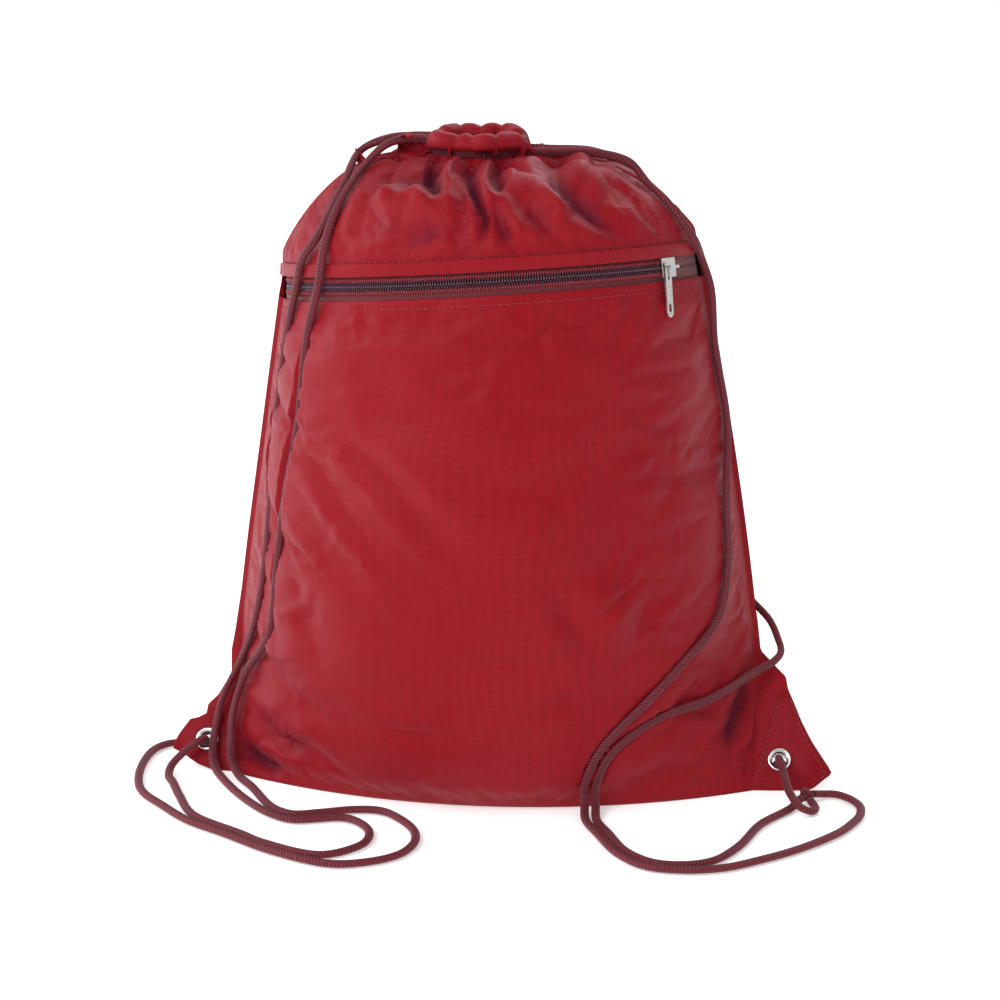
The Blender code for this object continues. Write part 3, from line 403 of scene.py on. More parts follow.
def curve_through(route, steps=12):
    """A centripetal Catmull-Rom curve: between two points, straight blends of straight blends of the
    four points round them, each timed by the square root of the distance."""
    points = np.array(route, float)
    points = np.concatenate([[2 * points[0] - points[1]], points, [2 * points[-1] - points[-2]]])
    gaps = np.linalg.norm(np.diff(points, axis=0), axis=1) ** 0.5
    knots = np.concatenate([[0], np.cumsum(gaps)])
    count = len(points) - 3
    p = [points[k : k + count, None, :] for k in range(4)]
    t = [knots[k : k + count, None, None] for k in range(4)]
    at = t[1] + (t[2] - t[1]) * np.linspace(0, 1, steps, endpoint=False)[None, :, None]
    a = [((t[i + 1] - at) * p[i] + (at - t[i]) * p[i + 1]) / (t[i + 1] - t[i]) for i in range(3)]
    b = [((t[i + 2] - at) * a[i] + (at - t[i]) * a[i + 1]) / (t[i + 2] - t[i]) for i in range(2)]
    curve = ((t[2] - at) * b[0] + (at - t[1]) * b[1]) / (t[2] - t[1])
    return np.concatenate([curve.reshape(-1, 3), points[-2:-1]])


def even_steps(curve, spacing):
    """The same curve with its points at an even spacing."""
    travel = np.concatenate([[0], np.cumsum(np.linalg.norm(np.diff(curve, axis=0), axis=1))])
    at = np.linspace(0, travel[-1], max(2, int(travel[-1] / spacing)) + 1)
    return np.stack([np.interp(at, travel, curve[:, axis]) for axis in range(3)], axis=1), at


def softened(values, rounds):
    """Each row moved a little towards its neighbours' mean, a number of times."""
    for _ in range(rounds):
        inner = (values[:-2] + 2 * values[1:-1] + values[2:]) / 4
        values = np.concatenate([values[:1], inner, values[-1:]])
    return values


# ------------------------------------------------------------------ the zip's cone


def tilted(direction):
    """A direction turned about Y, so that the zip's right end is the higher one."""
    x, y, z = direction
    cosine, sine = math.cos(ZIP_TILT), math.sin(ZIP_TILT)
    return vec(cosine * x - sine * z, y, sine * x + cosine * z)


ZIP_RISE = math.hypot(ZIP_FRONT - LAYER, ZIP_SIDE_DROP)
ZIP_RADIUS = ((ZIP_WIDTH / 2) ** 2 + ZIP_RISE**2) / (2 * ZIP_RISE)
ZIP_ACROSS = tilted(vec(1, 0, 0))
ZIP_OUT = tilted(vec(0, LAYER - ZIP_FRONT, ZIP_SIDE_DROP) / ZIP_RISE)
ZIP_AXIS = np.cross(ZIP_OUT, ZIP_ACROSS)
ZIP_CENTRE = vec(BODY_X, -ZIP_FRONT, ZIP_HEIGHT) - ZIP_RADIUS * ZIP_OUT


def zip_directions(angle):
    """The tangent, the outward normal and the upward slant of the cone at an angle, or at many."""
    sine, cosine = np.sin(angle)[..., None], np.cos(angle)[..., None]
    radial = sine * ZIP_ACROSS + cosine * ZIP_OUT
    tangent = cosine * ZIP_ACROSS - sine * ZIP_OUT
    outward = math.cos(ZIP_CONE) * radial + math.sin(ZIP_CONE) * ZIP_AXIS
    upward = math.cos(ZIP_CONE) * ZIP_AXIS - math.sin(ZIP_CONE) * radial
    return tangent, outward, upward, radial


def zip_point(angle, up=0.0, out=0.0):
    """The cone's point at an angle, moved up its slant and out of it. Arrays give arrays."""
    angle = np.asarray(angle, float)
    _, outward, upward, radial = zip_directions(angle)
    up, out = np.asarray(up, float)[..., None], np.asarray(out, float)[..., None]
    return ZIP_CENTRE + ZIP_RADIUS * radial + up * upward + out * outward


def zip_end(up):
    """The angle at which the cone reaches the side seam."""
    reach = -LAYER - ZIP_CENTRE[1] - up * math.cos(ZIP_CONE) * ZIP_AXIS[1]
    return math.acos(reach / (ZIP_OUT[1] * (ZIP_RADIUS - up * math.sin(ZIP_CONE))))


# ------------------------------------------------------------------ levels of the bag


def seam_y(z):
    return -SEAM_FORWARD * np.maximum(0.0, 1 - z / EAR_TOP) ** 1.5


def seam_slope(z):
    return 1.5 * SEAM_FORWARD / EAR_TOP * np.sqrt(np.maximum(0.0, 1 - z / EAR_TOP))


def zip_seam(side, up):
    x, _, z = zip_point(side * zip_end(up), up)
    return vec(x, 0, z)


BACK_LOW = vec(BODY_X, ZIP_BACK, ZIP_HEIGHT - BAND_BELOW - 0.004)
BACK_HIGH = vec(BODY_X, ZIP_BACK - 0.010, ZIP_HEIGHT + BAND_ABOVE - 0.008)


def low_level(t):
    """Left, right, front and back points of a level between the floor and the zip's band."""
    sides = []
    for side in (-1, 1):
        top = zip_seam(side, -BAND_BELOW)
        down = unit(top - zip_seam(side, 0))
        foot = vec(side * BASE_WIDTH / 2, 0, 0)
        x, _, z = bezier(foot, foot + vec(side * 0.0055, 0, 0.05), top + 0.06 * down, top, t)
        sides.append(vec(x, seam_y(z), z))
    top = zip_point(0, -BAND_BELOW)
    down = unit(top - zip_point(0, 0))
    front = bezier(vec(0, -BASE_FRONT, 0), vec(0, -FRONT_BULGE, 0.03), top + 0.075 * down, top, t)
    back = bezier(
        vec(0, BASE_BACK, 0), vec(0, BACK_BULGE, 0.03), vec(BODY_X, BACK_BULGE, 0.165), BACK_LOW, t
    )
    return *sides, front, back


def band_level(up):
    """A level of the band that holds the zip."""
    share = (up + BAND_BELOW) / (BAND_ABOVE + BAND_BELOW)
    back = BACK_LOW + share * (BACK_HIGH - BACK_LOW)
    return zip_seam(-1, up), zip_seam(1, up), zip_point(0, up), back


def high_level(t):
    """A level between the zip's band and the gathered mouth."""
    sides = []
    for side in (-1, 1):
        low = zip_seam(side, BAND_ABOVE)
        rise = unit(low - zip_seam(side, 0))
        rim = vec(RING_X + side * RING_WIDTH / 2, 0, SKIN_TOP)
        shoulder = rim + vec(side * SHOULDER_REACH, 0, SHOULDER_LIFT)
        sides.append(bezier(low, low + SHOULDER_RISE * rise, shoulder, rim, t))
    crests = []
    for side, low, rise in (
        (-1, zip_point(0, BAND_ABOVE), zip_directions(np.array(0.0))[2]),
        (1, BACK_HIGH, unit(BACK_HIGH - BACK_LOW)),
    ):
        rim = vec(RING_X, side * RING_DEPTH / 2, SKIN_TOP)
        crests.append(bezier(low, low + 0.02 * rise, rim + vec(0, side * 0.022, 0.003), rim, t))
    return *sides, *crests


EDGE_COLUMNS = 22


def column_shares(spacing):
    """Shares of the arc for the columns between the seams, closer together towards the seams."""
    even = np.linspace(0, 1, int(0.31 / spacing) + 1)
    return even - 0.045 * np.sin(2 * math.pi * even)


def outline_reach(side, seam):
    """How far the cloth's edge lies beyond the seam: the outline's distance, or the seam's lip."""
    outline = np.array(LEFT_OUTLINE if side < 0 else RIGHT_OUTLINE)
    edge = side * np.interp(seam[:, 2], outline[:, 0], outline[:, 1])
    reach = edge - side * seam[:, 0]
    fade = 1 - smooth(outline[-1, 0] - 0.02, outline[-1, 0], seam[:, 2])
    lip = SEAM_LIP - 0.0016 * smooth(0.24, 0.262, seam[:, 2])
    return np.maximum(lip, reach * fade + lip * (1 - fade))


def skin(levels, facing, shares):
    """The filled form's outer face: one row a level. Each row is the arc over the level's crest, and
    at both ends the flat edge that the two layers share, where they come together."""
    rows = []
    seams = [np.array([level[k] for level in levels]) for k in (0, 1)]
    reaches = [outline_reach(side, seam) for side, seam in zip((-1, 1), seams)]
    for side, seam, reach in zip((-1, 1), seams, reaches):
        fuller = np.maximum(0, reach - SEAM_LIP)
        fuller = fuller * smooth(0.045, 0.085, seam[:, 2]) * smooth(0.262, 0.232, seam[:, 2])
        seam[:, 0] += side * fuller
        reach -= fuller
    outs = []
    for side, seam in zip((-1, 1), seams):
        run = np.gradient(seam, axis=0)
        out = np.stack([side * run[:, 2], 0 * run[:, 0], -side * run[:, 0]], axis=1)
        out[seam[:, 2] < EAR_TOP] = (side, 0, 0)
        outs.append(unit(out))
    steps = ((np.arange(EDGE_COLUMNS) + 1) / EDGE_COLUMNS)[:, None]
    for k, level in enumerate(levels):
        crest = level[2] if facing < 0 else level[3]
        edges, ends = [], []
        for seam, reach, out in zip(seams, reaches, outs):
            shift = facing * LAYER * math.hypot(1, seam_slope(seam[k][2]))
            ends.append(seam[k] + vec(0, shift, 0))
            closing = vec(0, 1, 0) * shift * (1 - 0.93 * steps)
            edges.append(seam[k] + closing + steps * reach[k] * out[k])
        rows.append(
            np.concatenate([edges[0][::-1], arc_through(ends[0], crest, ends[1], shares), edges[1]])
        )
    return np.array(rows)


def grid_normals(grid, facing):
    """Unit normals of a grid of points, out of the bag."""
    across, upward = np.gradient(grid, axis=1), np.gradient(grid, axis=0)
    return unit(-facing * np.cross(across, upward))


# ------------------------------------------------------------------ folds


def line_distance(x, z, line):
    """Each point's distance from a line of straight pieces, its side (1 or -1) and how far along."""
    line = np.array(line, float)
    lengths = np.linalg.norm(np.diff(line, axis=0), axis=1)
    before = np.concatenate([[0], np.cumsum(lengths)])
    nearest = np.full(x.shape, np.inf)
    side, along = np.zeros(x.shape), np.zeros(x.shape)
    for k, length in enumerate(lengths):
        run = (line[k + 1] - line[k]) / length
        dx, dz = x - line[k, 0], z - line[k, 1]
        at = np.clip(dx * run[0] + dz * run[1], 0, length)
        away = np.hypot(dx - at * run[0], dz - at * run[1])
        closer = away < nearest
        nearest = np.where(closer, away, nearest)
        side = np.where(closer, np.sign(dx * run[1] - dz * run[0]), side)
        along = np.where(closer, (before[k] + at) / before[-1], along)
    return nearest, side, along


def fold(x, z, line, width, rise, lean):
    """A bell across the line, steeper on the side that it leans to, with a lower bell of the other
    sign on each flank, which fades towards the line's ends."""
    away, side, along = line_distance(x, z, line)
    across = away / (width * (1 - 0.6 * lean * side))
    taper = smooth(0, 0.28, along) * smooth(0, 0.34, 1 - along)
    flank = np.exp(-((across - 2.1) ** 2) * 0.9)
    return rise * (np.exp(-(across**1.6)) - 0.30 * flank) * (0.15 + 0.85 * taper)


def small_folds(x, z, random, count, areas, length, width, rise):
    """Many short folds at random places in the areas, each (x low, x high, z low, z high, angle)."""
    total = np.zeros(x.shape)
    for k in range(count):
        low_x, high_x, low_z, high_z, angle = areas[k % len(areas)]
        start = vec(random.uniform(low_x, high_x), random.uniform(low_z, high_z))
        turn = angle + random.normal(0, 0.35)
        bend = turn + random.normal(0, 0.35)
        reach = length * random.uniform(0.5, 1.4)
        middle = start + reach / 2 * vec(math.cos(turn), math.sin(turn))
        end = middle + reach / 2 * vec(math.cos(bend), math.sin(bend))
        size = random.uniform(0.6, 1.5)
        height = rise * random.uniform(0.4, 1.0) * random.choice([-1, -1, 1])
        total += fold(x, z, (start, middle, end), width * size, height, random.uniform(-0.5, 0.5))
    return total


def pleats(shares, below, random, count):
    """Valleys that run down from the drawn mouth: each is a bell across its column, held flatter
    round the hem, deepest just under it, and fading with its own reach below the mouth."""
    total = np.zeros(np.broadcast(shares, below).shape)
    places = (np.arange(count) + 0.5 + random.uniform(-0.28, 0.28, count)) / count
    for k, place in enumerate(places):
        reach = (0.020, 0.036, 0.050, 0.028)[k % 4] * random.uniform(0.85, 1.2)
        width = random.uniform(0.024, 0.040)
        drift = random.normal(0, 0.25) * below
        depth = PLEAT_DEPTH * random.uniform(0.7, 1.15)
        bell = np.exp(-np.abs((shares - place - drift) / width) ** 1.5)
        total -= depth * bell * np.exp(-((below / reach) ** 1.3))
    held = 0.3 + 0.7 * smooth(0, 0.009, below)
    return total * held + 0.0012 * np.exp(-below / 0.02)


SETTLE_FRAMES = 12


def settle(name, points, faces, pins, settings):
    """Lets the cloth settle: a Cloth modifier cut slightly too large, blown out a little, held where
    pins are 1 and free where they are 0. No point moves further than the travel allowed."""
    mesh = bpy.data.meshes.new(name)
    mesh.from_pydata(points, [], faces)
    obj = bpy.data.objects.new(name, mesh)
    bpy.context.scene.collection.objects.link(obj)
    group = obj.vertex_groups.new(name="pins")
    for weight in np.unique(np.round(pins, 1)):
        group.add(np.flatnonzero(np.round(pins, 1) == weight).tolist(), float(weight), "REPLACE")
    cloth = obj.modifiers.new("cloth", "CLOTH")
    cloth.settings.quality = 5
    cloth.settings.mass = 0.12
    cloth.settings.tension_stiffness = 12
    cloth.settings.compression_stiffness = 12
    cloth.settings.shear_stiffness = 4
    cloth.settings.bending_stiffness = 0.15
    cloth.settings.use_pressure = True
    cloth.settings.uniform_pressure_force = 1.2
    cloth.settings.shrink_min = -settings.slack
    cloth.settings.vertex_group_mass = "pins"
    cloth.settings.pin_stiffness = 2
    cloth.settings.effector_weights.gravity = 0
    cloth.collision_settings.use_collision = False
    cloth.point_cache.frame_start, cloth.point_cache.frame_end = 1, SETTLE_FRAMES
    scene = bpy.context.scene
    for number in range(1, SETTLE_FRAMES + 1):
        scene.frame_set(number)
    graph = bpy.context.evaluated_depsgraph_get()
    done = np.empty(len(mesh.vertices) * 3, np.float32)
    obj.evaluated_get(graph).data.vertices.foreach_get("co", done)
    move = done.reshape(-1, 3).astype(float) - points
    length = np.linalg.norm(move, axis=1, keepdims=True)
    move *= settings.travel * np.tanh(length / settings.travel) / np.maximum(length, 1e-9)
    bpy.data.objects.remove(obj)
    bpy.data.meshes.remove(mesh)
    scene.frame_set(1)
    return points + move


MOST_PRESS = 0.012


def press(points, inward, lines, room):
    """Moves points that lie nearer than room to a line inwards, until they clear it."""
    for line in lines:
        if not len(line):
            continue
        near = np.flatnonzero(
            ((points > line.min(0) - 0.01) & (points < line.max(0) + 0.01)).all(axis=1)
        )
        for chunk in np.array_split(near, max(1, len(near) // 1500)):
            if not len(chunk):
                continue
            gap = points[chunk, None] - line[None]
            squared = (gap**2).sum(axis=2)
            index = squared.argmin(axis=1)
            away = gap[np.arange(len(chunk)), index]
            depth = (away * inward[chunk]).sum(axis=1)
            aside = squared.min(axis=1) - depth**2
            want = np.sqrt(np.maximum(room**2 - aside, 0))
            move = np.clip(want - depth, 0, MOST_PRESS) * (aside < room**2) * (depth > -MOST_PRESS)
            points[chunk] += move[:, None] * inward[chunk]
    return points


# ------------------------------------------------------------------ meshes


def grid_faces(rows, columns, keep=None, around=False, flip=False):
    """Four-sided faces between neighbouring rows and columns of a grid, as one array."""
    r, c = np.meshgrid(np.arange(rows - 1), np.arange(columns - (not around)), indexing="ij")
    after = (c + 1) % columns
    faces = np.stack(
        [r * columns + c, r * columns + after, (r + 1) * columns + after, (r + 1) * columns + c],
        axis=-1,
    )
    faces = faces.reshape(-1, 4) if keep is None else faces[keep]
    return faces[:, ::-1] if flip else faces


def new_piece(name, points, faces, material, uv=None, values=None):
    """A mesh object at the origin, smooth, with its UV map in metres and its named values."""
    mesh = bpy.data.meshes.new(name)
    mesh.from_pydata(points.reshape(-1, 3), [], faces)
    if uv is not None:
        loops = np.empty(len(mesh.loops), np.int32)
        mesh.loops.foreach_get("vertex_index", loops)
        layer = mesh.uv_layers.new(name="UVMap")
        layer.data.foreach_set("uv", uv.reshape(-1, 2)[loops].astype(np.float32).ravel())
    for key, value in (values or {}).items():
        attribute = mesh.attributes.new(key, "FLOAT", "POINT")
        attribute.data.foreach_set("value", value.astype(np.float32).ravel())
    mesh.shade_smooth()
    mesh.materials.append(material)
    obj = bpy.data.objects.new(name, mesh)
    bpy.context.scene.collection.objects.link(obj)
    return obj


def loose_points_removed(points, faces, *more):
    """The points that a face uses, the faces renumbered, and the same rows of each other array."""
    used = np.unique(faces)
    number = np.zeros(len(points), int)
    number[used] = np.arange(len(used))
    return points[used], number[faces], *[array[used] for array in more]


def section_frames(line, hint):
    """The heading of each point of a line, and two directions square to it, the second nearest to
    the hint."""
    heading = unit(softened(np.gradient(line, axis=0), 1))
    upright = hint - (hint * heading).sum(axis=1, keepdims=True) * heading
    upright = unit(softened(unit(upright), 6))
    upright = unit(upright - (upright * heading).sum(axis=1, keepdims=True) * heading)
    return heading, np.cross(upright, heading), upright


def swept(line, hint, profile, closed=False):
    """A closed profile of (across, up) pairs carried along a line, and the faces of its walls and
    ends."""
    if closed:
        heading = unit(np.roll(line, -1, axis=0) - np.roll(line, 1, axis=0))
        upright = unit(hint - (hint * heading).sum(axis=1, keepdims=True) * heading)
        across = np.cross(upright, heading)
    else:
        heading, across, upright = section_frames(line, hint)
    points = line[:, None] + profile[None, :, :1] * across[:, None]
    points = points + profile[None, :, 1:] * upright[:, None]
    rows, columns = len(line), len(profile)
    if closed:
        points = np.concatenate([points, points[:1]])
        rows += 1
    faces = grid_faces(rows, columns, around=True).tolist()
    if not closed:
        faces.append(list(range(columns))[::-1])
        faces.append([(rows - 1) * columns + k for k in range(columns)])
    return points, faces


def oval(half_width, half_height, count):
    turns = np.arange(count) / count * 2 * math.pi
    return np.stack([half_width * np.sin(turns), half_height * np.cos(turns)], axis=1)


def many(points, forward, outward, size, rings=4, sides=6):
    """Many copies of one rounded rod in one mesh: size is (length, half width, half height)."""
    length, half_width, half_height = size
    turns = np.arange(sides) / sides * 2 * math.pi
    along = np.linspace(-1, 1, rings)
    swell = np.sqrt(np.clip(1 - along**2 * 0.88, 0, 1))
    rod = np.stack(
        [
            np.broadcast_to((along * length / 2)[:, None], (rings, sides)),
            half_width * swell[:, None] * np.sin(turns),
            half_height * swell[:, None] * np.cos(turns),
        ],
        axis=-1,
    ).reshape(-1, 3)
    outward = unit(outward - (outward * forward).sum(axis=1, keepdims=True) * forward)
    across = np.cross(outward, forward)
    axes = np.stack([forward, across, outward], axis=1)
    verts = points[:, None] + np.einsum("vk,nkd->nvd", rod, axes)
    walls = grid_faces(rings, sides, around=True)
    caps = [list(range(sides))[::-1], [(rings - 1) * sides + k for k in range(sides)]]
    count = rings * sides
    faces = []
    for start in range(len(points)):
        faces += (walls + start * count).tolist()
        faces += [[v + start * count for v in cap] for cap in caps]
    return verts.reshape(-1, 3), faces


def turned(profile, origin, x_axis, y_axis, z_axis, steps=48):
    """A closed profile of (radius, height) pairs turned about an axis."""
    turns = np.arange(steps + 1) / steps * 2 * math.pi
    radius, height = profile[:, 0], profile[:, 1]
    points = (
        origin
        + radius[None, :, None] * np.cos(turns)[:, None, None] * x_axis
        + radius[None, :, None] * np.sin(turns)[:, None, None] * y_axis
        + height[None, :, None] * z_axis
    )
    return points, grid_faces(steps + 1, len(profile), around=True, flip=True)


# ------------------------------------------------------------------ materials


def new_material(name):
    material = bpy.data.materials.new(name)
    material.use_nodes = True
    return material, material.node_tree, material.node_tree.nodes["Principled BSDF"]


def add_node(tree, kind, inputs=None, **settings):
    """A node with its settings, and its sockets set to a value or joined to another's output."""
    node = tree.nodes.new(kind)
    for key, value in settings.items():
        setattr(node, key, value)
    for key, value in (inputs or {}).items():
        if isinstance(value, bpy.types.NodeSocket):
            tree.links.new(value, node.inputs[key])
        else:
            node.inputs[key].default_value = value
    return node


def math_node(tree, operation, first, second=0.0):
    return add_node(tree, "ShaderNodeMath", {0: first, 1: second}, operation=operation).outputs[0]


def colour_mix(tree, factor, first, second, blend="MIX"):
    node = add_node(tree, "ShaderNodeMix", {0: factor}, data_type="RGBA", blend_type=blend)
    for socket, value in ((node.inputs[6], first), (node.inputs[7], second)):
        if isinstance(value, bpy.types.NodeSocket):
            tree.links.new(value, socket)
        else:
            socket.default_value = (*value, 1)
    return node.outputs[2]


def half_up(tree, value):
    """A sine from -1 to 1 as a share from 0 to 1."""
    return math_node(tree, "ADD", math_node(tree, "MULTIPLY", value, 0.5), 0.5)


def wave_share(tree, value, pitch, offset=0.0):
    turns = math_node(tree, "ADD", math_node(tree, "MULTIPLY", value, 2 * math.pi / pitch), offset)
    return half_up(tree, math_node(tree, "SINE", turns))


def make_fabric(settings, name="red_fabric_satin", shade=1.0):
    """Dyed polyester: a fine weave and its watered bands, paler where rubbed, with painted shade that
    darkens the folds. shade darkens the whole colour as painted shade; the corner patches use it.
    """
    material, tree, shader = new_material(name)
    uv = add_node(tree, "ShaderNodeUVMap", uv_map="UVMap").outputs[0]
    place = add_node(tree, "ShaderNodeTexCoord").outputs["Object"]
    fold_shade = add_node(tree, "ShaderNodeAttribute", attribute_name="fold_shade").outputs["Fac"]

    broad = add_node(tree, "ShaderNodeTexNoise", {"Vector": place, "Scale": 11.0, "Detail": 3.0})
    fine = add_node(tree, "ShaderNodeTexNoise", {"Vector": place, "Scale": 160.0, "Detail": 4.0})
    bent = add_node(
        tree, "ShaderNodeVectorMath",
        {0: uv, 1: add_node(tree, "ShaderNodeVectorMath", {0: broad.outputs["Color"], "Scale": 0.035},
                            operation="SCALE").outputs[0]},
        operation="ADD",
    ).outputs[0]
    split = add_node(tree, "ShaderNodeSeparateXYZ", {0: bent})
    straight = add_node(tree, "ShaderNodeSeparateXYZ", {0: uv})
    bands = wave_share(tree, split.outputs[1], 0.0034)
    cross = wave_share(tree, split.outputs[0], 0.0061)
    watered = math_node(tree, "MULTIPLY", bands, cross)
    warp = wave_share(tree, straight.outputs[0], 0.00075)
    weft = wave_share(tree, straight.outputs[1], 0.00075)
    weave = math_node(tree, "MULTIPLY", warp, weft)

    # shade below 1 darkens the whole dye as painted shade, for the corner patches' grain that lies another
    # way
    dye_and_shade = tuple(channel * shade for channel in settings.colour)
    worn = tuple(min(1.0, channel * 1.2 + 0.010) for channel in dye_and_shade)
    rubbed = add_node(
        tree, "ShaderNodeMapRange",
        {"Value": broad.outputs["Fac"], "From Min": 0.46, "From Max": 0.72, "To Max": settings.wear},
    ).outputs[0]
    colour = colour_mix(tree, rubbed, dye_and_shade, worn)
    darker = tuple(channel * 0.80 for channel in dye_and_shade)
    colour = colour_mix(tree, math_node(tree, "MULTIPLY", watered, 0.50), colour, darker)
    colour = colour_mix(tree, math_node(tree, "MULTIPLY", weave, 0.30), colour, darker)
    # painted shade: the colour goes towards the fold colour where the cloth lies deep in a fold
    colour = colour_mix(tree, fold_shade, colour, tuple(settings.fold_shade_colour))
    tree.links.new(colour, shader.inputs["Base Color"])

    rough = add_node(
        tree, "ShaderNodeMapRange",
        {"Value": fine.outputs["Fac"], "From Min": 0.3, "From Max": 0.7, "To Min": 0.40, "To Max": 0.52},
    ).outputs[0]
    tree.links.new(rough, shader.inputs["Roughness"])
    relief = math_node(tree, "ADD", math_node(tree, "MULTIPLY", weave, 0.5),
                       math_node(tree, "MULTIPLY", fine.outputs["Fac"], 0.9))
    bump = add_node(tree, "ShaderNodeBump", {"Height": relief, "Strength": 0.35, "Distance": 0.0004})
    tree.links.new(bump.outputs[0], shader.inputs["Normal"])
    shader.inputs["Specular IOR Level"].default_value = 0.15
    shader.inputs["Specular Tint"].default_value = (1.0, 0.62, 0.72, 1)
    shader.inputs["Sheen Weight"].default_value = 0.09
    shader.inputs["Sheen Roughness"].default_value = 0.42
    shader.inputs["Sheen Tint"].default_value = (1.0, 0.55, 0.70, 1)
    return material


def make_braid(settings):
    """A round braid flattened a little: strands that lean both ways from the middle of each face, a
    line of small gaps where they cross, and a fuzz of fine fibres. The grooves between the strands
    are painted darker as shade, and the gaps near black as painted shadow."""
    material, tree, shader = new_material("braided_cord_yarn")
    uv = add_node(tree, "ShaderNodeUVMap", uv_map="UVMap").outputs[0]
    split = add_node(tree, "ShaderNodeSeparateXYZ", {0: uv})
    along, around = split.outputs[0], split.outputs[1]
    pitch = settings.braid_pitch
    # Two faces go round the cord, so the strands' lean turns over twice.
    face = math_node(tree, "PINGPONG", math_node(tree, "MULTIPLY", around, 2.0), 0.5)
    lean = math_node(tree, "MULTIPLY", face, 2.2 * pitch)
    strands = wave_share(tree, math_node(tree, "ADD", along, lean), pitch)
    middle = math_node(tree, "SUBTRACT", 1.0, math_node(tree, "MULTIPLY", face, 5.5))
    middle = math_node(tree, "MAXIMUM", middle, 0.0)
    holes = math_node(tree, "MULTIPLY", middle, wave_share(tree, along, pitch, 2.0))
    holes = math_node(tree, "POWER", math_node(tree, "MAXIMUM", holes, 0.0), 1.2)
    groove = math_node(tree, "POWER", math_node(tree, "SUBTRACT", 1.0, strands), 1.6)
    place = add_node(tree, "ShaderNodeTexCoord").outputs["Object"]
    fuzz = add_node(tree, "ShaderNodeTexNoise", {"Vector": place, "Scale": 900.0, "Detail": 3.0})
    age = add_node(tree, "ShaderNodeTexNoise", {"Vector": place, "Scale": 24.0, "Detail": 2.0})
    groove_shade = tuple(settings.gap_shade_colour)
    colour = colour_mix(tree, math_node(tree, "MULTIPLY", age.outputs["Fac"], 0.55),
                        tuple(settings.colour), tuple(channel * 0.55 for channel in settings.colour))
    # painted shade in the grooves between the strands, and painted shadow in the gaps where they cross
    colour = colour_mix(tree, math_node(tree, "MULTIPLY", groove, 0.85), colour, groove_shade)
    colour = colour_mix(tree, holes, colour, (0.012, 0.003, 0.006))
    tree.links.new(colour, shader.inputs["Base Color"])
    height = math_node(tree, "ADD", math_node(tree, "SUBTRACT", strands, holes),
                       math_node(tree, "MULTIPLY", fuzz.outputs["Fac"], 0.3))
    bump = add_node(tree, "ShaderNodeBump", {"Height": height, "Strength": 0.7, "Distance": 0.0003})
    tree.links.new(bump.outputs[0], shader.inputs["Normal"])
    shader.inputs["Roughness"].default_value = 0.62
    shader.inputs["Specular IOR Level"].default_value = 0.25
    shader.inputs["Sheen Weight"].default_value = 0.12
    shader.inputs["Sheen Tint"].default_value = (1.0, 0.65, 0.70, 1)
    return material


def make_woven(name, colour, pitch, sheen=0.25):
    """A narrow woven tape: ribs across it and noise in its dye."""
    material, tree, shader = new_material(name)
    uv = add_node(tree, "ShaderNodeUVMap", uv_map="UVMap").outputs[0]
    split = add_node(tree, "ShaderNodeSeparateXYZ", {0: uv})
    ribs = wave_share(tree, split.outputs[0], pitch)
    picks = wave_share(tree, split.outputs[1], pitch * 0.7)
    weave = math_node(tree, "MULTIPLY", ribs, picks)
    place = add_node(tree, "ShaderNodeTexCoord").outputs["Object"]
    noise = add_node(tree, "ShaderNodeTexNoise", {"Vector": place, "Scale": 60.0, "Detail": 3.0})
    factor = math_node(tree, "ADD", math_node(tree, "MULTIPLY", weave, 0.5),
                       math_node(tree, "MULTIPLY", noise.outputs["Fac"], 0.3))
    shaded = colour_mix(tree, factor, tuple(colour), tuple(channel * 0.45 for channel in colour))
    tree.links.new(shaded, shader.inputs["Base Color"])
    bump = add_node(tree, "ShaderNodeBump", {"Height": weave, "Strength": 0.5, "Distance": 0.0002})
    tree.links.new(bump.outputs[0], shader.inputs["Normal"])
    shader.inputs["Roughness"].default_value = 0.7
    shader.inputs["Sheen Weight"].default_value = sheen
    return material


def make_plain(name, colour, roughness, metallic=0.0, grain=0.0006, scale=400.0):
    """A moulded, spun or plated finish: a base colour mottled by fine noise, with a slight grain."""
    material, tree, shader = new_material(name)
    place = add_node(tree, "ShaderNodeTexCoord").outputs["Object"]
    noise = add_node(tree, "ShaderNodeTexNoise", {"Vector": place, "Scale": scale, "Detail": 4.0})
    broad = add_node(tree, "ShaderNodeTexNoise", {"Vector": place, "Scale": scale / 8, "Detail": 2.0})
    shaded = colour_mix(tree, math_node(tree, "MULTIPLY", broad.outputs["Fac"], 0.5),
                        tuple(colour), tuple(channel * 0.62 for channel in colour))
    tree.links.new(shaded, shader.inputs["Base Color"])
    rough = add_node(
        tree, "ShaderNodeMapRange",
        {"Value": noise.outputs["Fac"], "From Min": 0.3, "From Max": 0.7,
         "To Min": roughness * 0.75, "To Max": roughness * 1.3},
    ).outputs[0]
    tree.links.new(rough, shader.inputs["Roughness"])
    bump = add_node(tree, "ShaderNodeBump",
                    {"Height": noise.outputs["Fac"], "Strength": 0.25, "Distance": grain})
    tree.links.new(bump.outputs[0], shader.inputs["Normal"])
    shader.inputs["Metallic"].default_value = metallic
    return material


# ------------------------------------------------------------------ the cloth's grids


def even_levels(level, low, high, spacing, crest):
    """Levels of the bag at an even spacing along their crest, both ends included."""
    probes = np.linspace(low, high, 80)
    track = np.array([level(t)[crest] for t in probes])
    travel = np.concatenate([[0], np.cumsum(np.linalg.norm(np.diff(track, axis=0), axis=1))])
    count = max(2, int(travel[-1] / spacing))
    return [level(t) for t in np.interp(np.linspace(0, travel[-1], count + 1), travel, probes)]


def folded_edge(row, facing, away, depth=0.0012):
    """Three rows that carry a panel's edge round a fold and back inside it. away leads on from the
    panel's edge."""
    inward = -grid_normals(np.array([row - away, row]), facing)[1] * depth
    return [row + 0.0004 * unit(away) + inward * 0.45, row + inward, row - 4 * away + inward * 1.15]


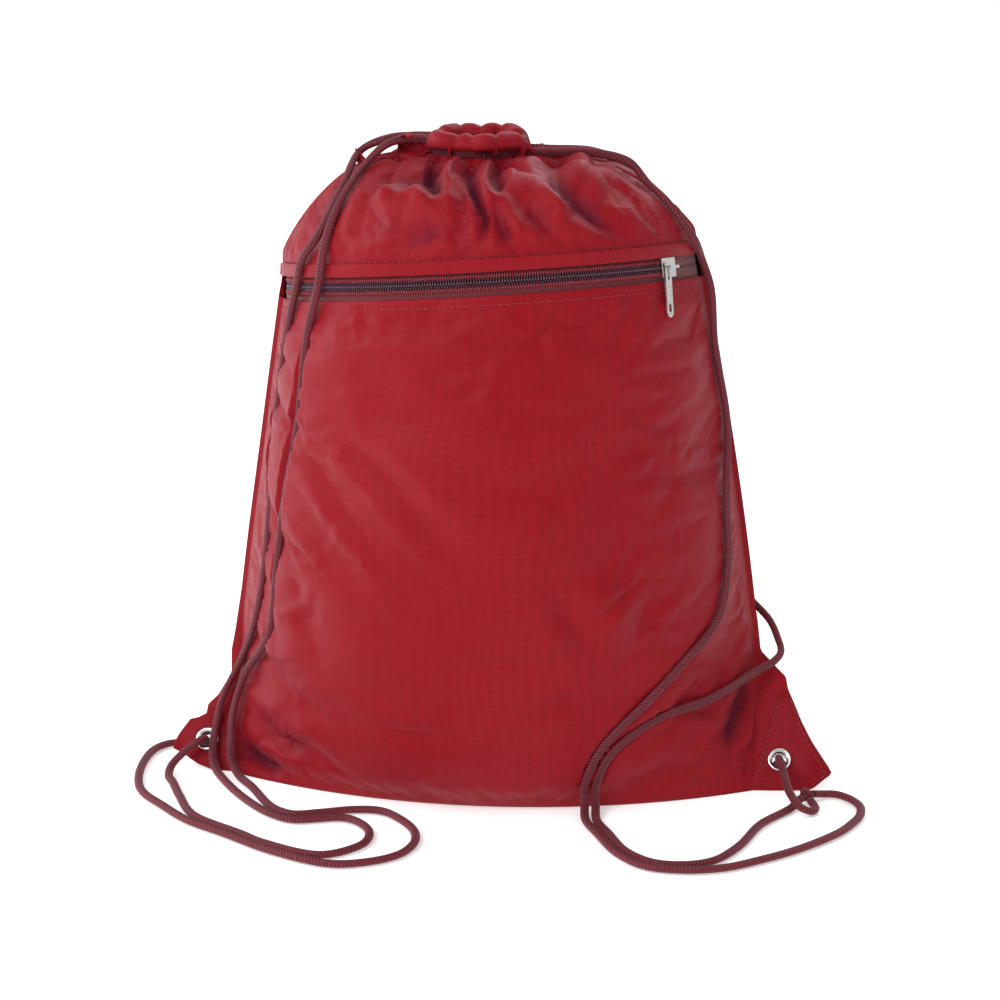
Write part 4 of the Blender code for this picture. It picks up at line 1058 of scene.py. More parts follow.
def casing_rows(rim, facing, shares, depth_at):
    """The hem's tunnel round the mouth: its outer wall, the roll over its top, its inner wall, and
    the cloth below it, which is drawn together in the middle."""
    radius = ((RING_WIDTH / 2) ** 2 + (RING_DEPTH / 2) ** 2) / RING_DEPTH
    centre = vec(RING_X, facing * (RING_DEPTH / 2 - radius), 0)
    out = unit((rim - centre) * vec(1, 1, 0))
    half = CHANNEL_DEPTH / 2 + 0.0009
    roll = np.linspace(0, math.pi, 11)
    wall = CASING_HEIGHT - half
    section = [(0.0002, 0.22 * wall), (0.0008, 0.5 * wall), (0.0010, 0.8 * wall)]
    section += [(half * (math.cos(a) - 1) + 0.0009, wall + half * math.sin(a)) for a in roll]
    section += [(-2 * half + 0.0008, 0.6 * wall), (-2 * half + 0.0004, 0.2 * wall)]
    middle = np.abs(shares - 0.5) * 2
    tall = 0.10 + 0.90 * smooth(0, 0.30, 1 - middle)
    lobes = depth_at / PLEAT_DEPTH
    rows = []
    for shift, height in section:
        top = height / CASING_HEIGHT
        ruffle = 0.0020 * top * np.sin(shares * 17 + 2.2 * facing) * smooth(0, 0.2, 1 - middle)
        lift = height * tall * (1 + 0.04 * lobes * top + 0.03 * top * np.sin(shares * 11 + 0.8))
        rows.append(rim + (shift + ruffle)[:, None] * out + lift[:, None] * vec(0, 0, 1))
    for share, drop in ((0.30, 0.003), (0.55, 0.008), (0.78, 0.014), (0.93, 0.020), (1.0, 0.026)):
        low = rows[len(section) - 1]
        core = vec(RING_X, facing * 0.0004, 0) + (low - vec(RING_X, 0, 0)) * vec(0.3, 0, 1)
        rows.append(low + share * (core - low) - vec(0, 0, drop))
    return rows


def corner_waves(grid):
    """The flat corners' slight waves: a ripple across them that dies out at the eyelet."""
    x, z = grid[..., 0], grid[..., 2]
    reach = smooth(BASE_WIDTH / 2, BASE_WIDTH / 2 + 0.030, np.abs(x)) * smooth(0.072, 0.05, z)
    side = np.sign(x)
    calm = smooth(0.008, 0.020, np.hypot(np.abs(x) - EYELET_X, z - EYELET_Z))
    wave = 0.0030 * np.sin(z * 150 + 1.1 * side) + 0.0022 * np.sin(np.abs(x) * 210 + z * 90 + side)
    return wave * reach * calm


def uv_of(grid):
    """Distances across and up a grid, in metres, from its middle column and its first row."""
    across = np.linalg.norm(np.diff(grid, axis=1), axis=2).mean(axis=0)
    upward = np.linalg.norm(np.diff(grid, axis=0), axis=2)
    u = np.concatenate([[0], np.cumsum(across)])
    v = np.concatenate([np.zeros((1, grid.shape[1])), np.cumsum(upward, axis=0)])
    return np.stack([np.broadcast_to(u, grid.shape[:2]), v], axis=-1)


def cord_lines():
    """The three cords' own lines, as (points, distance along) at an even spacing."""
    low = RING_BOTTOM + CHANNEL_WALL + CORD_ROOM + CORD / 2
    high = low + CORD + CORD_ROOM
    routes = {
        "left_braid": [*LEFT_CORD_START, *tunnel_route(high, -1), *LEFT_CORD_END],
        "right_braid": [*RIGHT_CORD_START, *tunnel_route(low, 1), *RIGHT_CORD_END],
        "right_tail_braid": list(RIGHT_TAIL),
    }
    return {name: even_steps(curve_through(route), 0.0011) for name, route in routes.items()}


def tunnel_route(height, side):
    """Through one tunnel and back through the other, for a cord whose ends leave on this side."""
    radius = ((RING_WIDTH / 2) ** 2 + (RING_DEPTH / 2) ** 2) / RING_DEPTH
    middle = radius - CHANNEL_DEPTH / 2
    route = []
    for facing, turn in ((-side, side), (side, -side)):
        centre = vec(RING_X, facing * (RING_DEPTH / 2 - radius), height)
        for angle in turn * np.linspace(1, -1, 7) * CHANNEL_ANGLE:
            route.append(centre + middle * vec(math.sin(angle), facing * math.cos(angle), 0))
        if facing == -side:
            end = RING_X - side * (middle * math.sin(CHANNEL_ANGLE) + 0.0026)
            route.append(vec(end, 0, height))
    return route


# Where the small folds start: (x low, x high, z low, z high, the angle they lie at).
FOLD_AREAS = (
    (-0.10, 0.09, 0.235, 0.262, 1.45), (-0.12, -0.085, 0.06, 0.24, 0.3),
    (0.085, 0.12, 0.06, 0.24, 2.9), (-0.10, 0.10, 0.02, 0.12, 0.5),
    (-0.09, 0.08, 0.285, 0.315, 0.9), (-0.10, 0.10, 0.10, 0.23, 1.2),
    (-0.135, -0.105, 0.01, 0.07, 0.4), (0.105, 0.135, 0.01, 0.07, 2.7),
)
SMALL_FOLDS = 120
NARROW_FOLD = 0.0056  # painted fold shade goes only into folds narrower than this
DEEP_FOLD = 0.0062  # and is at its darkest from this depth down
FAR_BELOW = 1.0  # a distance below the mouth at which no pleat is left
CORD_PRESS = 0.0025  # the cloth under a cord keeps this far from the cord's middle
BACK_PRESS = 0.0030  # and the cloth in front of a cord behind it, this far


def finish_cloth(
    name, grid, facing, still, shares, folds, below, settings, lines, copied, pressed
):
    """Folds, settles and presses a grid of cloth. still is 1 where the cloth is sewn down, copied
    pairs a turned-in row with the row whose normals it takes, and pressed says which rows give way
    to the cords. Returns the grid and each point's painted fold shade, from how deep it lies in a fold."""
    x, z = grid[..., 0], np.minimum(grid[..., 2], SKIN_TOP - 0.0006)
    random = np.random.default_rng(SEED + (facing > 0))
    move = sum(fold(x, z, *one) for one in folds)
    narrow = sum(fold(x, z, *one) for one in folds if one[1] < NARROW_FOLD)
    move = move + small_folds(x, z, random, SMALL_FOLDS, FOLD_AREAS, 0.026, 0.0040, 0.0016)
    gathers = pleats(shares, below, random, PLEATS)
    hold = 1 - still
    move = move * hold + gathers * smooth(0, 0.05, 1 - np.abs(2 * shares - 1))
    normal = grid_normals(grid, facing)
    grid = grid + move[..., None] * normal
    grid[..., 1] += corner_waves(grid)
    pins = np.clip(still, 0, 1)
    faces = grid_faces(*grid.shape[:2], flip=facing > 0)
    points = settle(name, grid.reshape(-1, 3).copy(), faces.tolist(), pins.ravel(), settings)
    inward = -grid_normals(points.reshape(grid.shape), facing)
    for row, source in copied:
        inward[row] = inward[source]
    inward = inward.reshape(-1, 3)
    open_rows = np.repeat(pressed, grid.shape[1])
    own, other = [], []
    for line, _ in lines.values():
        before = facing * (line[:, 1] - seam_y(line[:, 2])) > 0
        own.append(line[before])
        other.append(line[~before])
    free = points[open_rows]
    free = press(free, inward[open_rows], own, CORD_PRESS)
    free = press(free, -inward[open_rows], other, BACK_PRESS)
    points[open_rows] = free
    points[:, 2] = np.maximum(points[:, 2], 0.0003)
    # painted shade: how far each point is darkened for lying deep in a narrow fold or a pleat
    fold_shade = 0.85 * np.clip(-(narrow * hold + gathers) / DEEP_FOLD, 0, 1) ** 1.3
    return points.reshape(grid.shape), fold_shade


CLOTH = {}


def edge_still(shares):
    """1 on the flat edges and along the seams, and 0 from a few millimetres inside them."""
    inside = np.minimum(shares, 1 - shares)
    still = 1 - smooth(0.004, 0.030, inside)
    return np.concatenate([np.ones(EDGE_COLUMNS), still, np.ones(EDGE_COLUMNS)])


def make_cloth(settings):
    """The three panels' grids: the pocket front, the upper front and the back."""
    shares = column_shares(settings.spacing)
    lines = cord_lines()
    wide = np.concatenate([np.zeros(EDGE_COLUMNS), shares, np.ones(EDGE_COLUMNS)])
    sides = edge_still(shares)
    step = settings.spacing

    # The pocket front, from under its lower edge to the fold below the zip.
    low = even_levels(low_level, 0, 1, step, 2)
    band = even_levels(band_level, -BAND_BELOW, LOWER_FOLD, step, 2)
    front = skin(low + band[1:], -1, shares)
    under = front[0] * vec(0.985, 0.95, 1) + vec(0, 0, 0.0004)
    top = folded_edge(front[-1], -1, (front[-1] - front[-2]) * 0.8)
    grid = np.concatenate([[under], front, top])
    up = np.arange(len(grid)) * step
    still = np.maximum(sides[None], 1 - smooth(0.0, 0.010, up)[:, None])
    still = np.maximum(still, 1 - smooth(0.004, 0.016, up[-1] - up)[:, None])
    below = np.full((len(grid), 1), FAR_BELOW)
    turned_in = [(-k, -5) for k in (1, 2, 3, 4)]
    pressed = np.ones(len(grid), bool)
    CLOTH["pocket"] = finish_cloth(
        "pocket_settling", grid, -1, still, wide[None], FRONT_FOLDS, below, settings, lines,
        turned_in, pressed,
    )

    # The upper front, from the fold above the zip to the mouth, and the hem round it.
    band = even_levels(band_level, UPPER_FOLD, BAND_ABOVE, step, 2)
    high = even_levels(high_level, 0, 1, step * 0.62, 2)
    front = skin(band + high[1:], -1, shares)
    bottom = folded_edge(front[0], -1, (front[0] - front[1]) * 0.8)[::-1]
    CLOTH["upper"] = gathered("upper_settling", front, bottom, -1, wide, sides, settings, lines)

    # The back, from the base's front edge under the bag and up to the mouth.
    low = even_levels(low_level, 0, 1, step, 3)
    band = even_levels(band_level, -BAND_BELOW, BAND_ABOVE, step, 3)
    high = even_levels(high_level, 0, 1, step * 0.62, 3)
    back = skin(low + band[1:] + high[1:], 1, shares)
    rim = skin(low[:2], -1, shares)[0] * vec(0.985, 0.95, 1) + vec(0, 0, 0.0006)
    bottom = [rim + share * (back[0] - rim) for share in np.linspace(0, 1, 24, endpoint=False)]
    CLOTH["back"] = gathered("back_settling", back, bottom, 1, wide, sides, settings, lines)


def gathered(name, panel, bottom, facing, wide, sides, settings, lines):
    """A panel that ends in the gathered mouth, with its hem and the cloth inside the mouth."""
    crest = panel.shape[1] // 2
    track = panel[:, crest]
    travel = np.concatenate([[0], np.cumsum(np.linalg.norm(np.diff(track, axis=0), axis=1))])
    random = np.random.default_rng(SEED + (facing > 0))
    rim = panel[-1]
    guide = pleats(wide, np.zeros(len(wide)), random, PLEATS)
    hem = casing_rows(rim, facing, wide, guide)
    grid = np.concatenate([bottom, panel, hem])
    below = np.concatenate([np.full(len(bottom), FAR_BELOW), travel[-1] - travel, np.zeros(len(hem))])
    up = np.concatenate([np.zeros(len(bottom)), travel, np.full(len(hem), travel[-1])])
    still = np.maximum(sides[None], 1 - smooth(0.003, 0.014, up)[:, None])
    rim_still = 0.45 * smooth(0.010, 0.0, below)[:, None]
    still = np.maximum(still, rim_still * np.ones_like(still))
    still[-len(hem) :] = 1
    folds, turned_in = BACK_FOLDS, []
    if facing < 0:
        folds = FRONT_FOLDS
        turned_in = [(k, len(bottom) + 1) for k in range(len(bottom) + 1)]
    pressed = np.arange(len(grid)) < len(grid) - len(hem) + 2
    return finish_cloth(
        name, grid, facing, still, wide[None], folds, below[:, None], settings, lines, turned_in, pressed
    )


def eyelet_frame(side):
    """The eyelet's middle on the seam's surface, and its across, up and outward directions."""
    slope = seam_slope(EYELET_Z)
    outward = unit(vec(0, -1, slope))
    across = vec(1, 0, 0)
    origin = vec(side * EYELET_X, seam_y(EYELET_Z), EYELET_Z)
    return origin, across, np.cross(outward, across), outward


def holes_kept(grid):
    """Which faces of a grid lie clear of the two eyelets' bores."""
    middle = (grid[:-1, :-1] + grid[1:, 1:]) / 2
    keep = np.ones(middle.shape[:2], bool)
    for side in (-1, 1):
        origin, across, up, _ = eyelet_frame(side)
        away = middle - origin
        keep &= np.hypot(away @ across, away @ up) > EYELET_HOLE
    return keep


def cloth_piece(name, key, facing, material, nodes):
    """A panel's object, a single layer of faces, without the faces inside the eyelets."""
    grid, fold_shade = CLOTH[key]
    rows, columns = grid.shape[:2]
    faces = grid_faces(rows, columns, keep=holes_kept(grid), flip=facing > 0)
    points, faces, uv, depth = loose_points_removed(
        grid.reshape(-1, 3), faces, uv_of(grid).reshape(-1, 2), fold_shade.ravel()
    )
    obj = new_piece(name, points, faces, material, uv, {"fold_shade": depth})
    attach(obj, "bag")
    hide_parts(*nodes)
    return obj


def on_grid(grid, rows, columns):
    """The grid's points at fractions of rows and columns, blended from the four round each."""
    r = np.clip(np.floor(rows).astype(int), 0, grid.shape[0] - 2)
    c = np.clip(np.floor(columns).astype(int), 0, grid.shape[1] - 2)
    a, b = (rows - r)[:, None], (columns - c)[:, None]
    low = grid[r, c] * (1 - b) + grid[r, c + 1] * b
    high = grid[r + 1, c] * (1 - b) + grid[r + 1, c + 1] * b
    return low * (1 - a) + high * a


STITCH_PITCH = 1.32  # from one stitch to the next, over the stitch's own length
THREAD_RISE = 0.00022


def stitches(name, line, outward, length, material):
    """A row of sewn stitches along a line on the cloth, each a short rounded rod."""
    travel = np.concatenate([[0], np.cumsum(np.linalg.norm(np.diff(line, axis=0), axis=1))])
    at = np.arange(length, travel[-1] - length, length * STITCH_PITCH)
    places = np.stack([np.interp(at, travel, line[:, axis]) for axis in range(3)], axis=1)
    normal = unit(np.stack([np.interp(at, travel, outward[:, axis]) for axis in range(3)], axis=1))
    ahead = np.stack([np.interp(at + 0.0005, travel, line[:, axis]) for axis in range(3)], axis=1)
    forward = unit(ahead - places)
    points, faces = many(places + THREAD_RISE * normal, forward, normal, (length, 0.00030, 0.00024))
    obj = new_piece(name, points, faces, material)
    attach(obj, "bag")
    return obj


# ------------------------------------------------------------------ operators


class BACKPACK_OT_stage(bpy.types.Operator):
    """Adds the camera, the pale floor and the soft lights"""

    bl_idname = "backpack.stage"
    bl_label = "Build Stage"

    def execute(self, context):
        settings = context.scene.backpack_stage
        scene = context.scene
        a, e, d = settings.azimuth, settings.elevation, settings.distance
        right = vec(math.cos(a), math.sin(a), 0)
        view = vec(-math.sin(a) * math.cos(e), math.cos(a) * math.cos(e), -math.sin(e))
        target = right * 0.00156 + vec(0, 0, 0.1407)
        camera = bpy.data.cameras.new("camera")
        camera.sensor_width = 36
        camera.lens = 36 * d / settings.view_width
        camera.clip_end = 50
        holder = bpy.data.objects.new("camera", camera)
        holder.location = target - view * d
        holder.rotation_euler = (math.pi / 2 - e, 0, a)
        scene.collection.objects.link(holder)
        scene.camera = holder

        floor_material = make_plain("pale_floor", (0.97, 0.97, 0.97), 0.8, grain=0.0001, scale=30)
        shader = floor_material.node_tree.nodes["Principled BSDF"]
        floor_material.node_tree.links.remove(shader.inputs["Base Color"].links[0])
        shader.inputs["Base Color"].default_value = (0.93, 0.93, 0.93, 1)
        shader.inputs["Emission Color"].default_value = (1, 1, 1, 1)
        shader.inputs["Emission Strength"].default_value = 0.36
        corners = vec(-8, 8)[:, None, None] * vec(1, 0, 0) + vec(-8, 8)[None, :, None] * vec(0, 1, 0)
        floor = new_piece("floor", corners, [[0, 2, 3, 1]], floor_material)

        lights = (
            ("key", (-0.75, -1.35, 1.35), 1.0, settings.key_power, (1.0, 0.96, 0.96)),
            ("side", (-1.5, 0.25, 0.7), 1.1, settings.rim_power, (0.86, 0.90, 1.0)),
            ("fill", (1.3, -1.0, 0.8), 1.2, settings.key_power * 0.10, (1.0, 0.93, 0.95)),
            ("back", (0.4, 1.4, 1.3), 1.2, settings.rim_power * 0.7, (0.95, 0.95, 1.0)),
        )
        for name, place, size, power, colour in lights:
            light = bpy.data.lights.new(name, "AREA")
            light.shape = "SQUARE"
            light.size = size
            light.energy = power
            light.color = colour
            lamp = bpy.data.objects.new(name, light)
            lamp.location = place
            lamp.rotation_euler = (target_vector(place)).to_track_quat("-Z", "Y").to_euler()
            scene.collection.objects.link(lamp)
        world = bpy.data.worlds.new("white_room")
        world.use_nodes = True
        sky = world.node_tree.nodes["Background"]
        sky.inputs["Color"].default_value = (1, 1, 1, 1)
        seen = add_node(world.node_tree, "ShaderNodeLightPath").outputs["Is Camera Ray"]
        level = math_node(world.node_tree, "MAXIMUM", seen, settings.room_light)
        world.node_tree.links.new(level, sky.inputs["Strength"])
        scene.world = world
        scene.view_settings.view_transform = "Standard"
        return {"FINISHED"}


def target_vector(place):
    """From a lamp to the middle of the bag."""
    return Vector((0, 0, 0.16)) - Vector(place)


class BACKPACK_OT_cords(bpy.types.Operator):
    """Builds the two drawn cords, the short tail and their knots"""

    bl_idname = "backpack.cords"
    bl_label = "Build Cords"

    def execute(self, context):
        settings = context.scene.backpack_cords
        braid = make_braid(settings)
        ends = {
            "left_braid": ("left_cord", LEFT_CORD_START[1]),
            "right_braid": ("right_cord", RIGHT_CORD_START[0]),
            "right_tail_braid": ("right_cord_tail", RIGHT_TAIL[1]),
        }
        profile = oval(settings.half_width, settings.half_height, 14)
        made = {}
        for name, (line, travel) in cord_lines().items():
            lying = smooth(0.030, 0.006, line[:, 2])[:, None]
            out = unit(vec(1, 1, 0) * (line - vec(RING_X, 0.012, 0)) * vec(0.55, 1, 0))
            hint = unit(out * (1 - lying) + vec(0, 0, 1) * lying)
            sides = len(profile)
            points, faces = swept(line, hint, profile)
            around = np.arange(sides) / sides
            uv = np.stack(np.broadcast_arrays(travel[:, None], around[None]), axis=-1)
            obj = new_piece(name, points, faces, braid, uv)
            node, leaves = ends[name]
            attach(obj, "bag")
            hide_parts(node)
            made[name] = (obj, line, travel[-1], leaves)
        knots = {
            "left_end_knot": ("left_knot", LEFT_KNOT, 0.4, 1.0),
            "right_end_knot": ("right_knot", RIGHT_KNOT, 1.3, 0.98),
            "right_tail_end_knot": ("right_tail_knot", RIGHT_TAIL_KNOT, 2.2, 0.9),
        }
        for name, (node, centre, turn, size) in knots.items():
            obj = overhand(name, vec(*centre), turn, size, braid)
            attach(obj, "bag")
            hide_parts(node)
            made[name] = obj
        pairs = {
            "left_braid": made["left_end_knot"],
            "right_braid": made["right_end_knot"],
            "right_tail_braid": made["right_tail_end_knot"],
        }
        for name, knot in pairs.items():
            obj, line, length, leaves = made[name]
        return {"FINISHED"}


def overhand(name, centre, turn, size, material):
    """A pulled overhand knot: the tube along a trefoil, whose three lobes cross in the middle."""
    t = np.arange(72) / 72 * 2 * math.pi
    flat = np.stack(
        [np.sin(t) + 2 * np.sin(2 * t), np.cos(t) - 2 * np.cos(2 * t), -1.15 * np.sin(3 * t)], axis=1
    )
    cosine, sine = math.cos(turn), math.sin(turn)
    line = flat * vec(0.00088, 0.00088, 0.00105) * size
    turned_axes = [[cosine, sine * 0.6, sine * 0.8], [-sine, cosine * 0.6, cosine * 0.8], [0, -0.8, 0.6]]
    line = line @ np.array(turned_axes)
    line = line + centre
    line[:, 2] += max(0.0, 0.0021 - line[:, 2].min())
    points, faces = swept(line, unit(line - centre + vec(0, 0, 1e-4)), oval(0.0017, 0.00155, 12), True)
    around = np.arange(12) / 12
    travel = np.linspace(0, 0.05, len(line) + 1)
    uv = np.stack(np.broadcast_arrays(travel[:, None], around[None]), axis=-1)
    return new_piece(name, points, faces, material, uv)


class BACKPACK_OT_fabric(bpy.types.Operator):
    """Builds the pocket front, the upper front, the back and the lining"""

    bl_idname = "backpack.fabric"
    bl_label = "Build Fabric"

    def execute(self, context):
        settings = context.scene.backpack_fabric
        satin = make_fabric(settings)
        make_cloth(settings)
        pocket = cloth_piece("pocket_front", "pocket", -1, satin, ["front_pocket_panel"])
        upper = cloth_piece(
            "upper_front", "upper", -1, satin, ["front_upper_panel", "front_cord_channel"]
        )
        back = cloth_piece("back_and_base", "back", 1, satin, ["back_panel", "back_cord_channel"])
        grid = CLOTH["pocket"][0][4:-4:3, EDGE_COLUMNS + 8 : -EDGE_COLUMNS - 8 : 3]
        inner = grid - 0.010 * grid_normals(grid, -1)
        inner[..., 2] = np.maximum(inner[..., 2], 0.002)
        lining = new_piece(
            "pocket_lining_cloth", inner, grid_faces(*inner.shape[:2]).tolist(),
            make_woven("lining_taffeta", (0.20, 0.006, 0.014), 0.0006), uv_of(inner),
        )
        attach(lining, "bag")
        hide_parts("pocket_lining")
        return {"FINISHED"}


PATCH_INNER = {
    -1: ((0.0, -0.1335), (0.010, -0.1375), (0.0275, -0.1455)),
    1: ((0.0, 0.1335), (0.008, 0.1375), (0.031, 0.1452), (0.043, 0.1500)),
}


def patch_grid(side):
    """The reinforcing patch over a flat corner: rows up it, from its inner edge to the cloth's."""
    inner = np.array(PATCH_INNER[side])
    outline = np.array(LEFT_OUTLINE if side < 0 else RIGHT_OUTLINE)
    z = np.linspace(0.0005, inner[-1, 0], 44)
    near = np.interp(z, inner[:, 0], inner[:, 1])
    far = np.interp(z, outline[:, 0], outline[:, 1]) - side * 0.0004
    share = np.linspace(0, 1, 40)
    x = near[:, None] + share * (far - near)[:, None]
    height = np.broadcast_to(z[:, None], x.shape)
    shift = LAYER * np.hypot(1, seam_slope(height)) * (1 - 0.93 * 0.5)
    grid = np.stack([x, seam_y(height) - shift - 0.0011, height], axis=-1)
    grid[..., 1] += corner_waves(grid)
    return grid


class BACKPACK_OT_corners(bpy.types.Operator):
    """Builds the corner patches, the eyelets and their washers"""

    bl_idname = "backpack.corners"
    bl_label = "Build Corners"

    def execute(self, context):
        # painted shade: the corner patches take the fabric 8% darker, for their grain that lies another
        # way
        satin = make_fabric(context.scene.backpack_fabric, "corner_satin", 0.92)
        nickel = make_plain("polished_nickel", (0.80, 0.79, 0.77), 0.17, 1.0, 0.00004, 700)
        thread = make_plain("sewing_thread", context.scene.backpack_zip.thread_colour, 0.6)
        bore, outer = EYELET_BORE / 2, EYELET_WIDTH / 2
        turn = np.linspace(0, 2 * math.pi, 20, endpoint=False)
        for name, side in (("left", -1), ("right", 1)):
            grid = patch_grid(side)
            faces = grid_faces(*grid.shape[:2], keep=holes_kept(grid), flip=side < 0)
            fold_shade = np.zeros(grid.shape[:2])
            points, faces, uv, depth = loose_points_removed(
                grid.reshape(-1, 3), faces, uv_of(grid).reshape(-1, 2), fold_shade.ravel()
            )
            patch = new_piece(f"{name}_corner_reinforcement", points, faces, satin, uv, {"fold_shade": depth})
            wall = patch.modifiers.new("thickness", "SOLIDIFY")
            wall.thickness = 0.0006
            wall.offset = -1
            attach(patch, "bag")
            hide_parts(f"{name}_corner_patch")

            inset = grid[2:, 2]
            outward = grid_normals(grid, -1)
            stitches(f"{name}_corner_inner_stitches", inset, outward[2:, 2], 0.0024, thread)
            stitches(f"{name}_corner_edge_stitches", grid[2:-1, -4], outward[2:-1, -4], 0.0024, thread)

            origin, across, up, out = eyelet_frame(side)
            seat = 0.0026
            rim = [
                (bore + 0.0004 - 0.0004 * math.cos(angle), seat + 0.0006 * math.sin(angle))
                for angle in (0, 0.8, 1.57)
            ]
            inner = bore + 0.0008
            dome = [
                (inner + (outer - inner) * share, seat + 0.0006 + 0.0004 * math.sin(math.pi * share))
                for share in np.linspace(0.1, 0.85, 7)
            ]
            edge = [(outer, 0.0003), (outer - 0.0001, -0.0003), (outer - 0.0006, -0.0005)]
            edge = [(radius, seat + height) for radius, height in edge]
            barrel = [(bore + 0.0007, seat - 0.0006), (bore + 0.0006, -0.0022), (bore, -0.0022)]
            points, faces = turned(np.array(rim + dome + edge + barrel), origin, across, up, out)
            eyelet = new_piece(f"{name}_eyelet_ring", points, faces.tolist(), nickel)
            tube = (bore + 0.0013 + 0.0012 * np.cos(turn), -0.0026 - 0.0005 * np.sin(turn))
            points, faces = turned(np.stack(tube, axis=1)[::-1], origin, across, up, out)
            washer = new_piece(f"{name}_eyelet_back_ring", points, faces.tolist(), nickel)
            for obj, node in ((eyelet, f"{name}_eyelet"), (washer, f"{name}_eyelet_washer")):
                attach(obj, "bag")
                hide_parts(node)
        return {"FINISHED"}


class BACKPACK_OT_zip(bpy.types.Operator):
    """Builds the zip's tapes, coils and threads, and finishes its slider and puller"""

    bl_idname = "backpack.zip"
    bl_label = "Build Zip"

    def execute(self, context):
        settings = context.scene.backpack_zip
        tape = make_woven("woven_zip_tape", settings.tape_colour, 0.0010)
        coil = make_plain("coil_nylon", (0.050, 0.006, 0.020), 0.35, scale=900)
        heads = make_plain("coil_head_nylon", settings.coil_colour, 0.30, scale=900)
        thread = make_plain("coil_thread", settings.thread_colour, 0.6)
        for name, side in (("upper", 1), ("lower", -1)):
            ups = side * np.linspace(0.0007, 0.0007 + TAPE_WIDTH, 12)
            ends = np.array([zip_end(up) for up in ups])[:, None] - math.radians(0.05)
            angles = np.linspace(-1, 1, 260)[None] * ends
            obj = self.strip(f"woven_tape_{name}", angles, ups[:, None], TAPE_OUT, side < 0, tape)
            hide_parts(f"zip_tape_{name}")
            self.coil_side(name, side, coil, thread)
        self.coil_heads(heads)
        self.tape_ends(tape)
        nickel = make_plain("brushed_nickel", (0.78, 0.77, 0.75), 0.24, 1.0, 0.00004, 500)
        for node in ("zip_slider", "zip_puller"):
            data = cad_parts[node].data
            data.materials.clear()
            data.materials.append(nickel)
        return {"FINISHED"}

    def tape_ends(self, material):
        """The short lengths at both ends where the two tapes are sewn together over a scrap of tape."""
        edge = zip_end(0) + math.radians(0.15)
        spans = {"left": (-edge, -edge + math.radians(6)), "right": (SLIDER_ANGLE + math.radians(2), edge)}
        for name, (first, last) in spans.items():
            angles = np.linspace(first, last, 24)[None] * np.ones((10, 1))
            heights = np.linspace(-0.0060, 0.0060, 10)[:, None]
            self.strip(f"tape_end_{name}", angles, heights, TAPE_OUT - 0.0004, False, material)

    def strip(self, name, angles, heights, out, flip, material):
        """A strip of woven tape on the zip's cone, with its thickness inwards."""
        grid = zip_point(angles, heights, np.full((1, 1), out))
        obj = new_piece(name, grid, grid_faces(*grid.shape[:2], flip=flip).tolist(), material, uv_of(grid))
        wall = obj.modifiers.new("thickness", "SOLIDIFY")
        wall.thickness = TAPE_THICKNESS
        wall.offset = -1
        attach(obj, "bag")
        return obj

    def reach(self, pitch, offset=0.0):
        """The angles of the coil's turns, from its left end to under the closed slider."""
        start = -zip_end(0) + math.radians(6)
        return np.arange(start, SLIDER_ANGLE + math.radians(4), pitch / ZIP_RADIUS) + offset / ZIP_RADIUS

    def coil_side(self, name, side, coil, thread):
        """One side's turns of coil, and the two rows of thread that hold them to the tape."""
        angles = self.reach(COIL_PITCH, COIL_PITCH / 2 * (side > 0))
        tangent, outward, upward, _ = zip_directions(angles)
        lean = unit(upward * side + 0.10 * tangent)
        centre = (TAPE_OUT + COIL_OUT) / 2
        places = zip_point(angles, side * 0.00175, centre - 0.0001)
        points, faces = many(places, lean, outward, (0.0034, 0.00046, 0.00070), rings=5)
        obj = new_piece(f"coil_turns_{name}", points, faces, coil)
        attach(obj, "bag")
        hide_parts(f"zip_coil_{name}")
        angles = self.reach(COIL_PITCH * 0.92)
        tangent, outward, upward, _ = zip_directions(angles)
        for row, (up, length, out) in enumerate(((0.0030, 0.0019, -0.00005), (0.0044, 0.0011, -0.0012))):
            places = zip_point(angles, side * up, out)
            lean = unit(upward + 0.35 * side * tangent)
            points, faces = many(places, lean, outward, (length, 0.00034, 0.00030))
            obj = new_piece(f"coil_thread_{name}_{row + 1}", points, faces, thread)
            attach(obj, "bag")

    def coil_heads(self, material):
        """The pale heads of the turns, where the two sides hook together."""
        angles = self.reach(COIL_PITCH, COIL_PITCH / 2)
        _, outward, upward, _ = zip_directions(angles)
        places = zip_point(angles, 0.0001, COIL_OUT - 0.0004)
        points, faces = many(places, upward, outward, (0.00125, 0.00046, 0.00044), sides=8)
        obj = new_piece("coil_heads", points, faces, material)
        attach(obj, "bag")


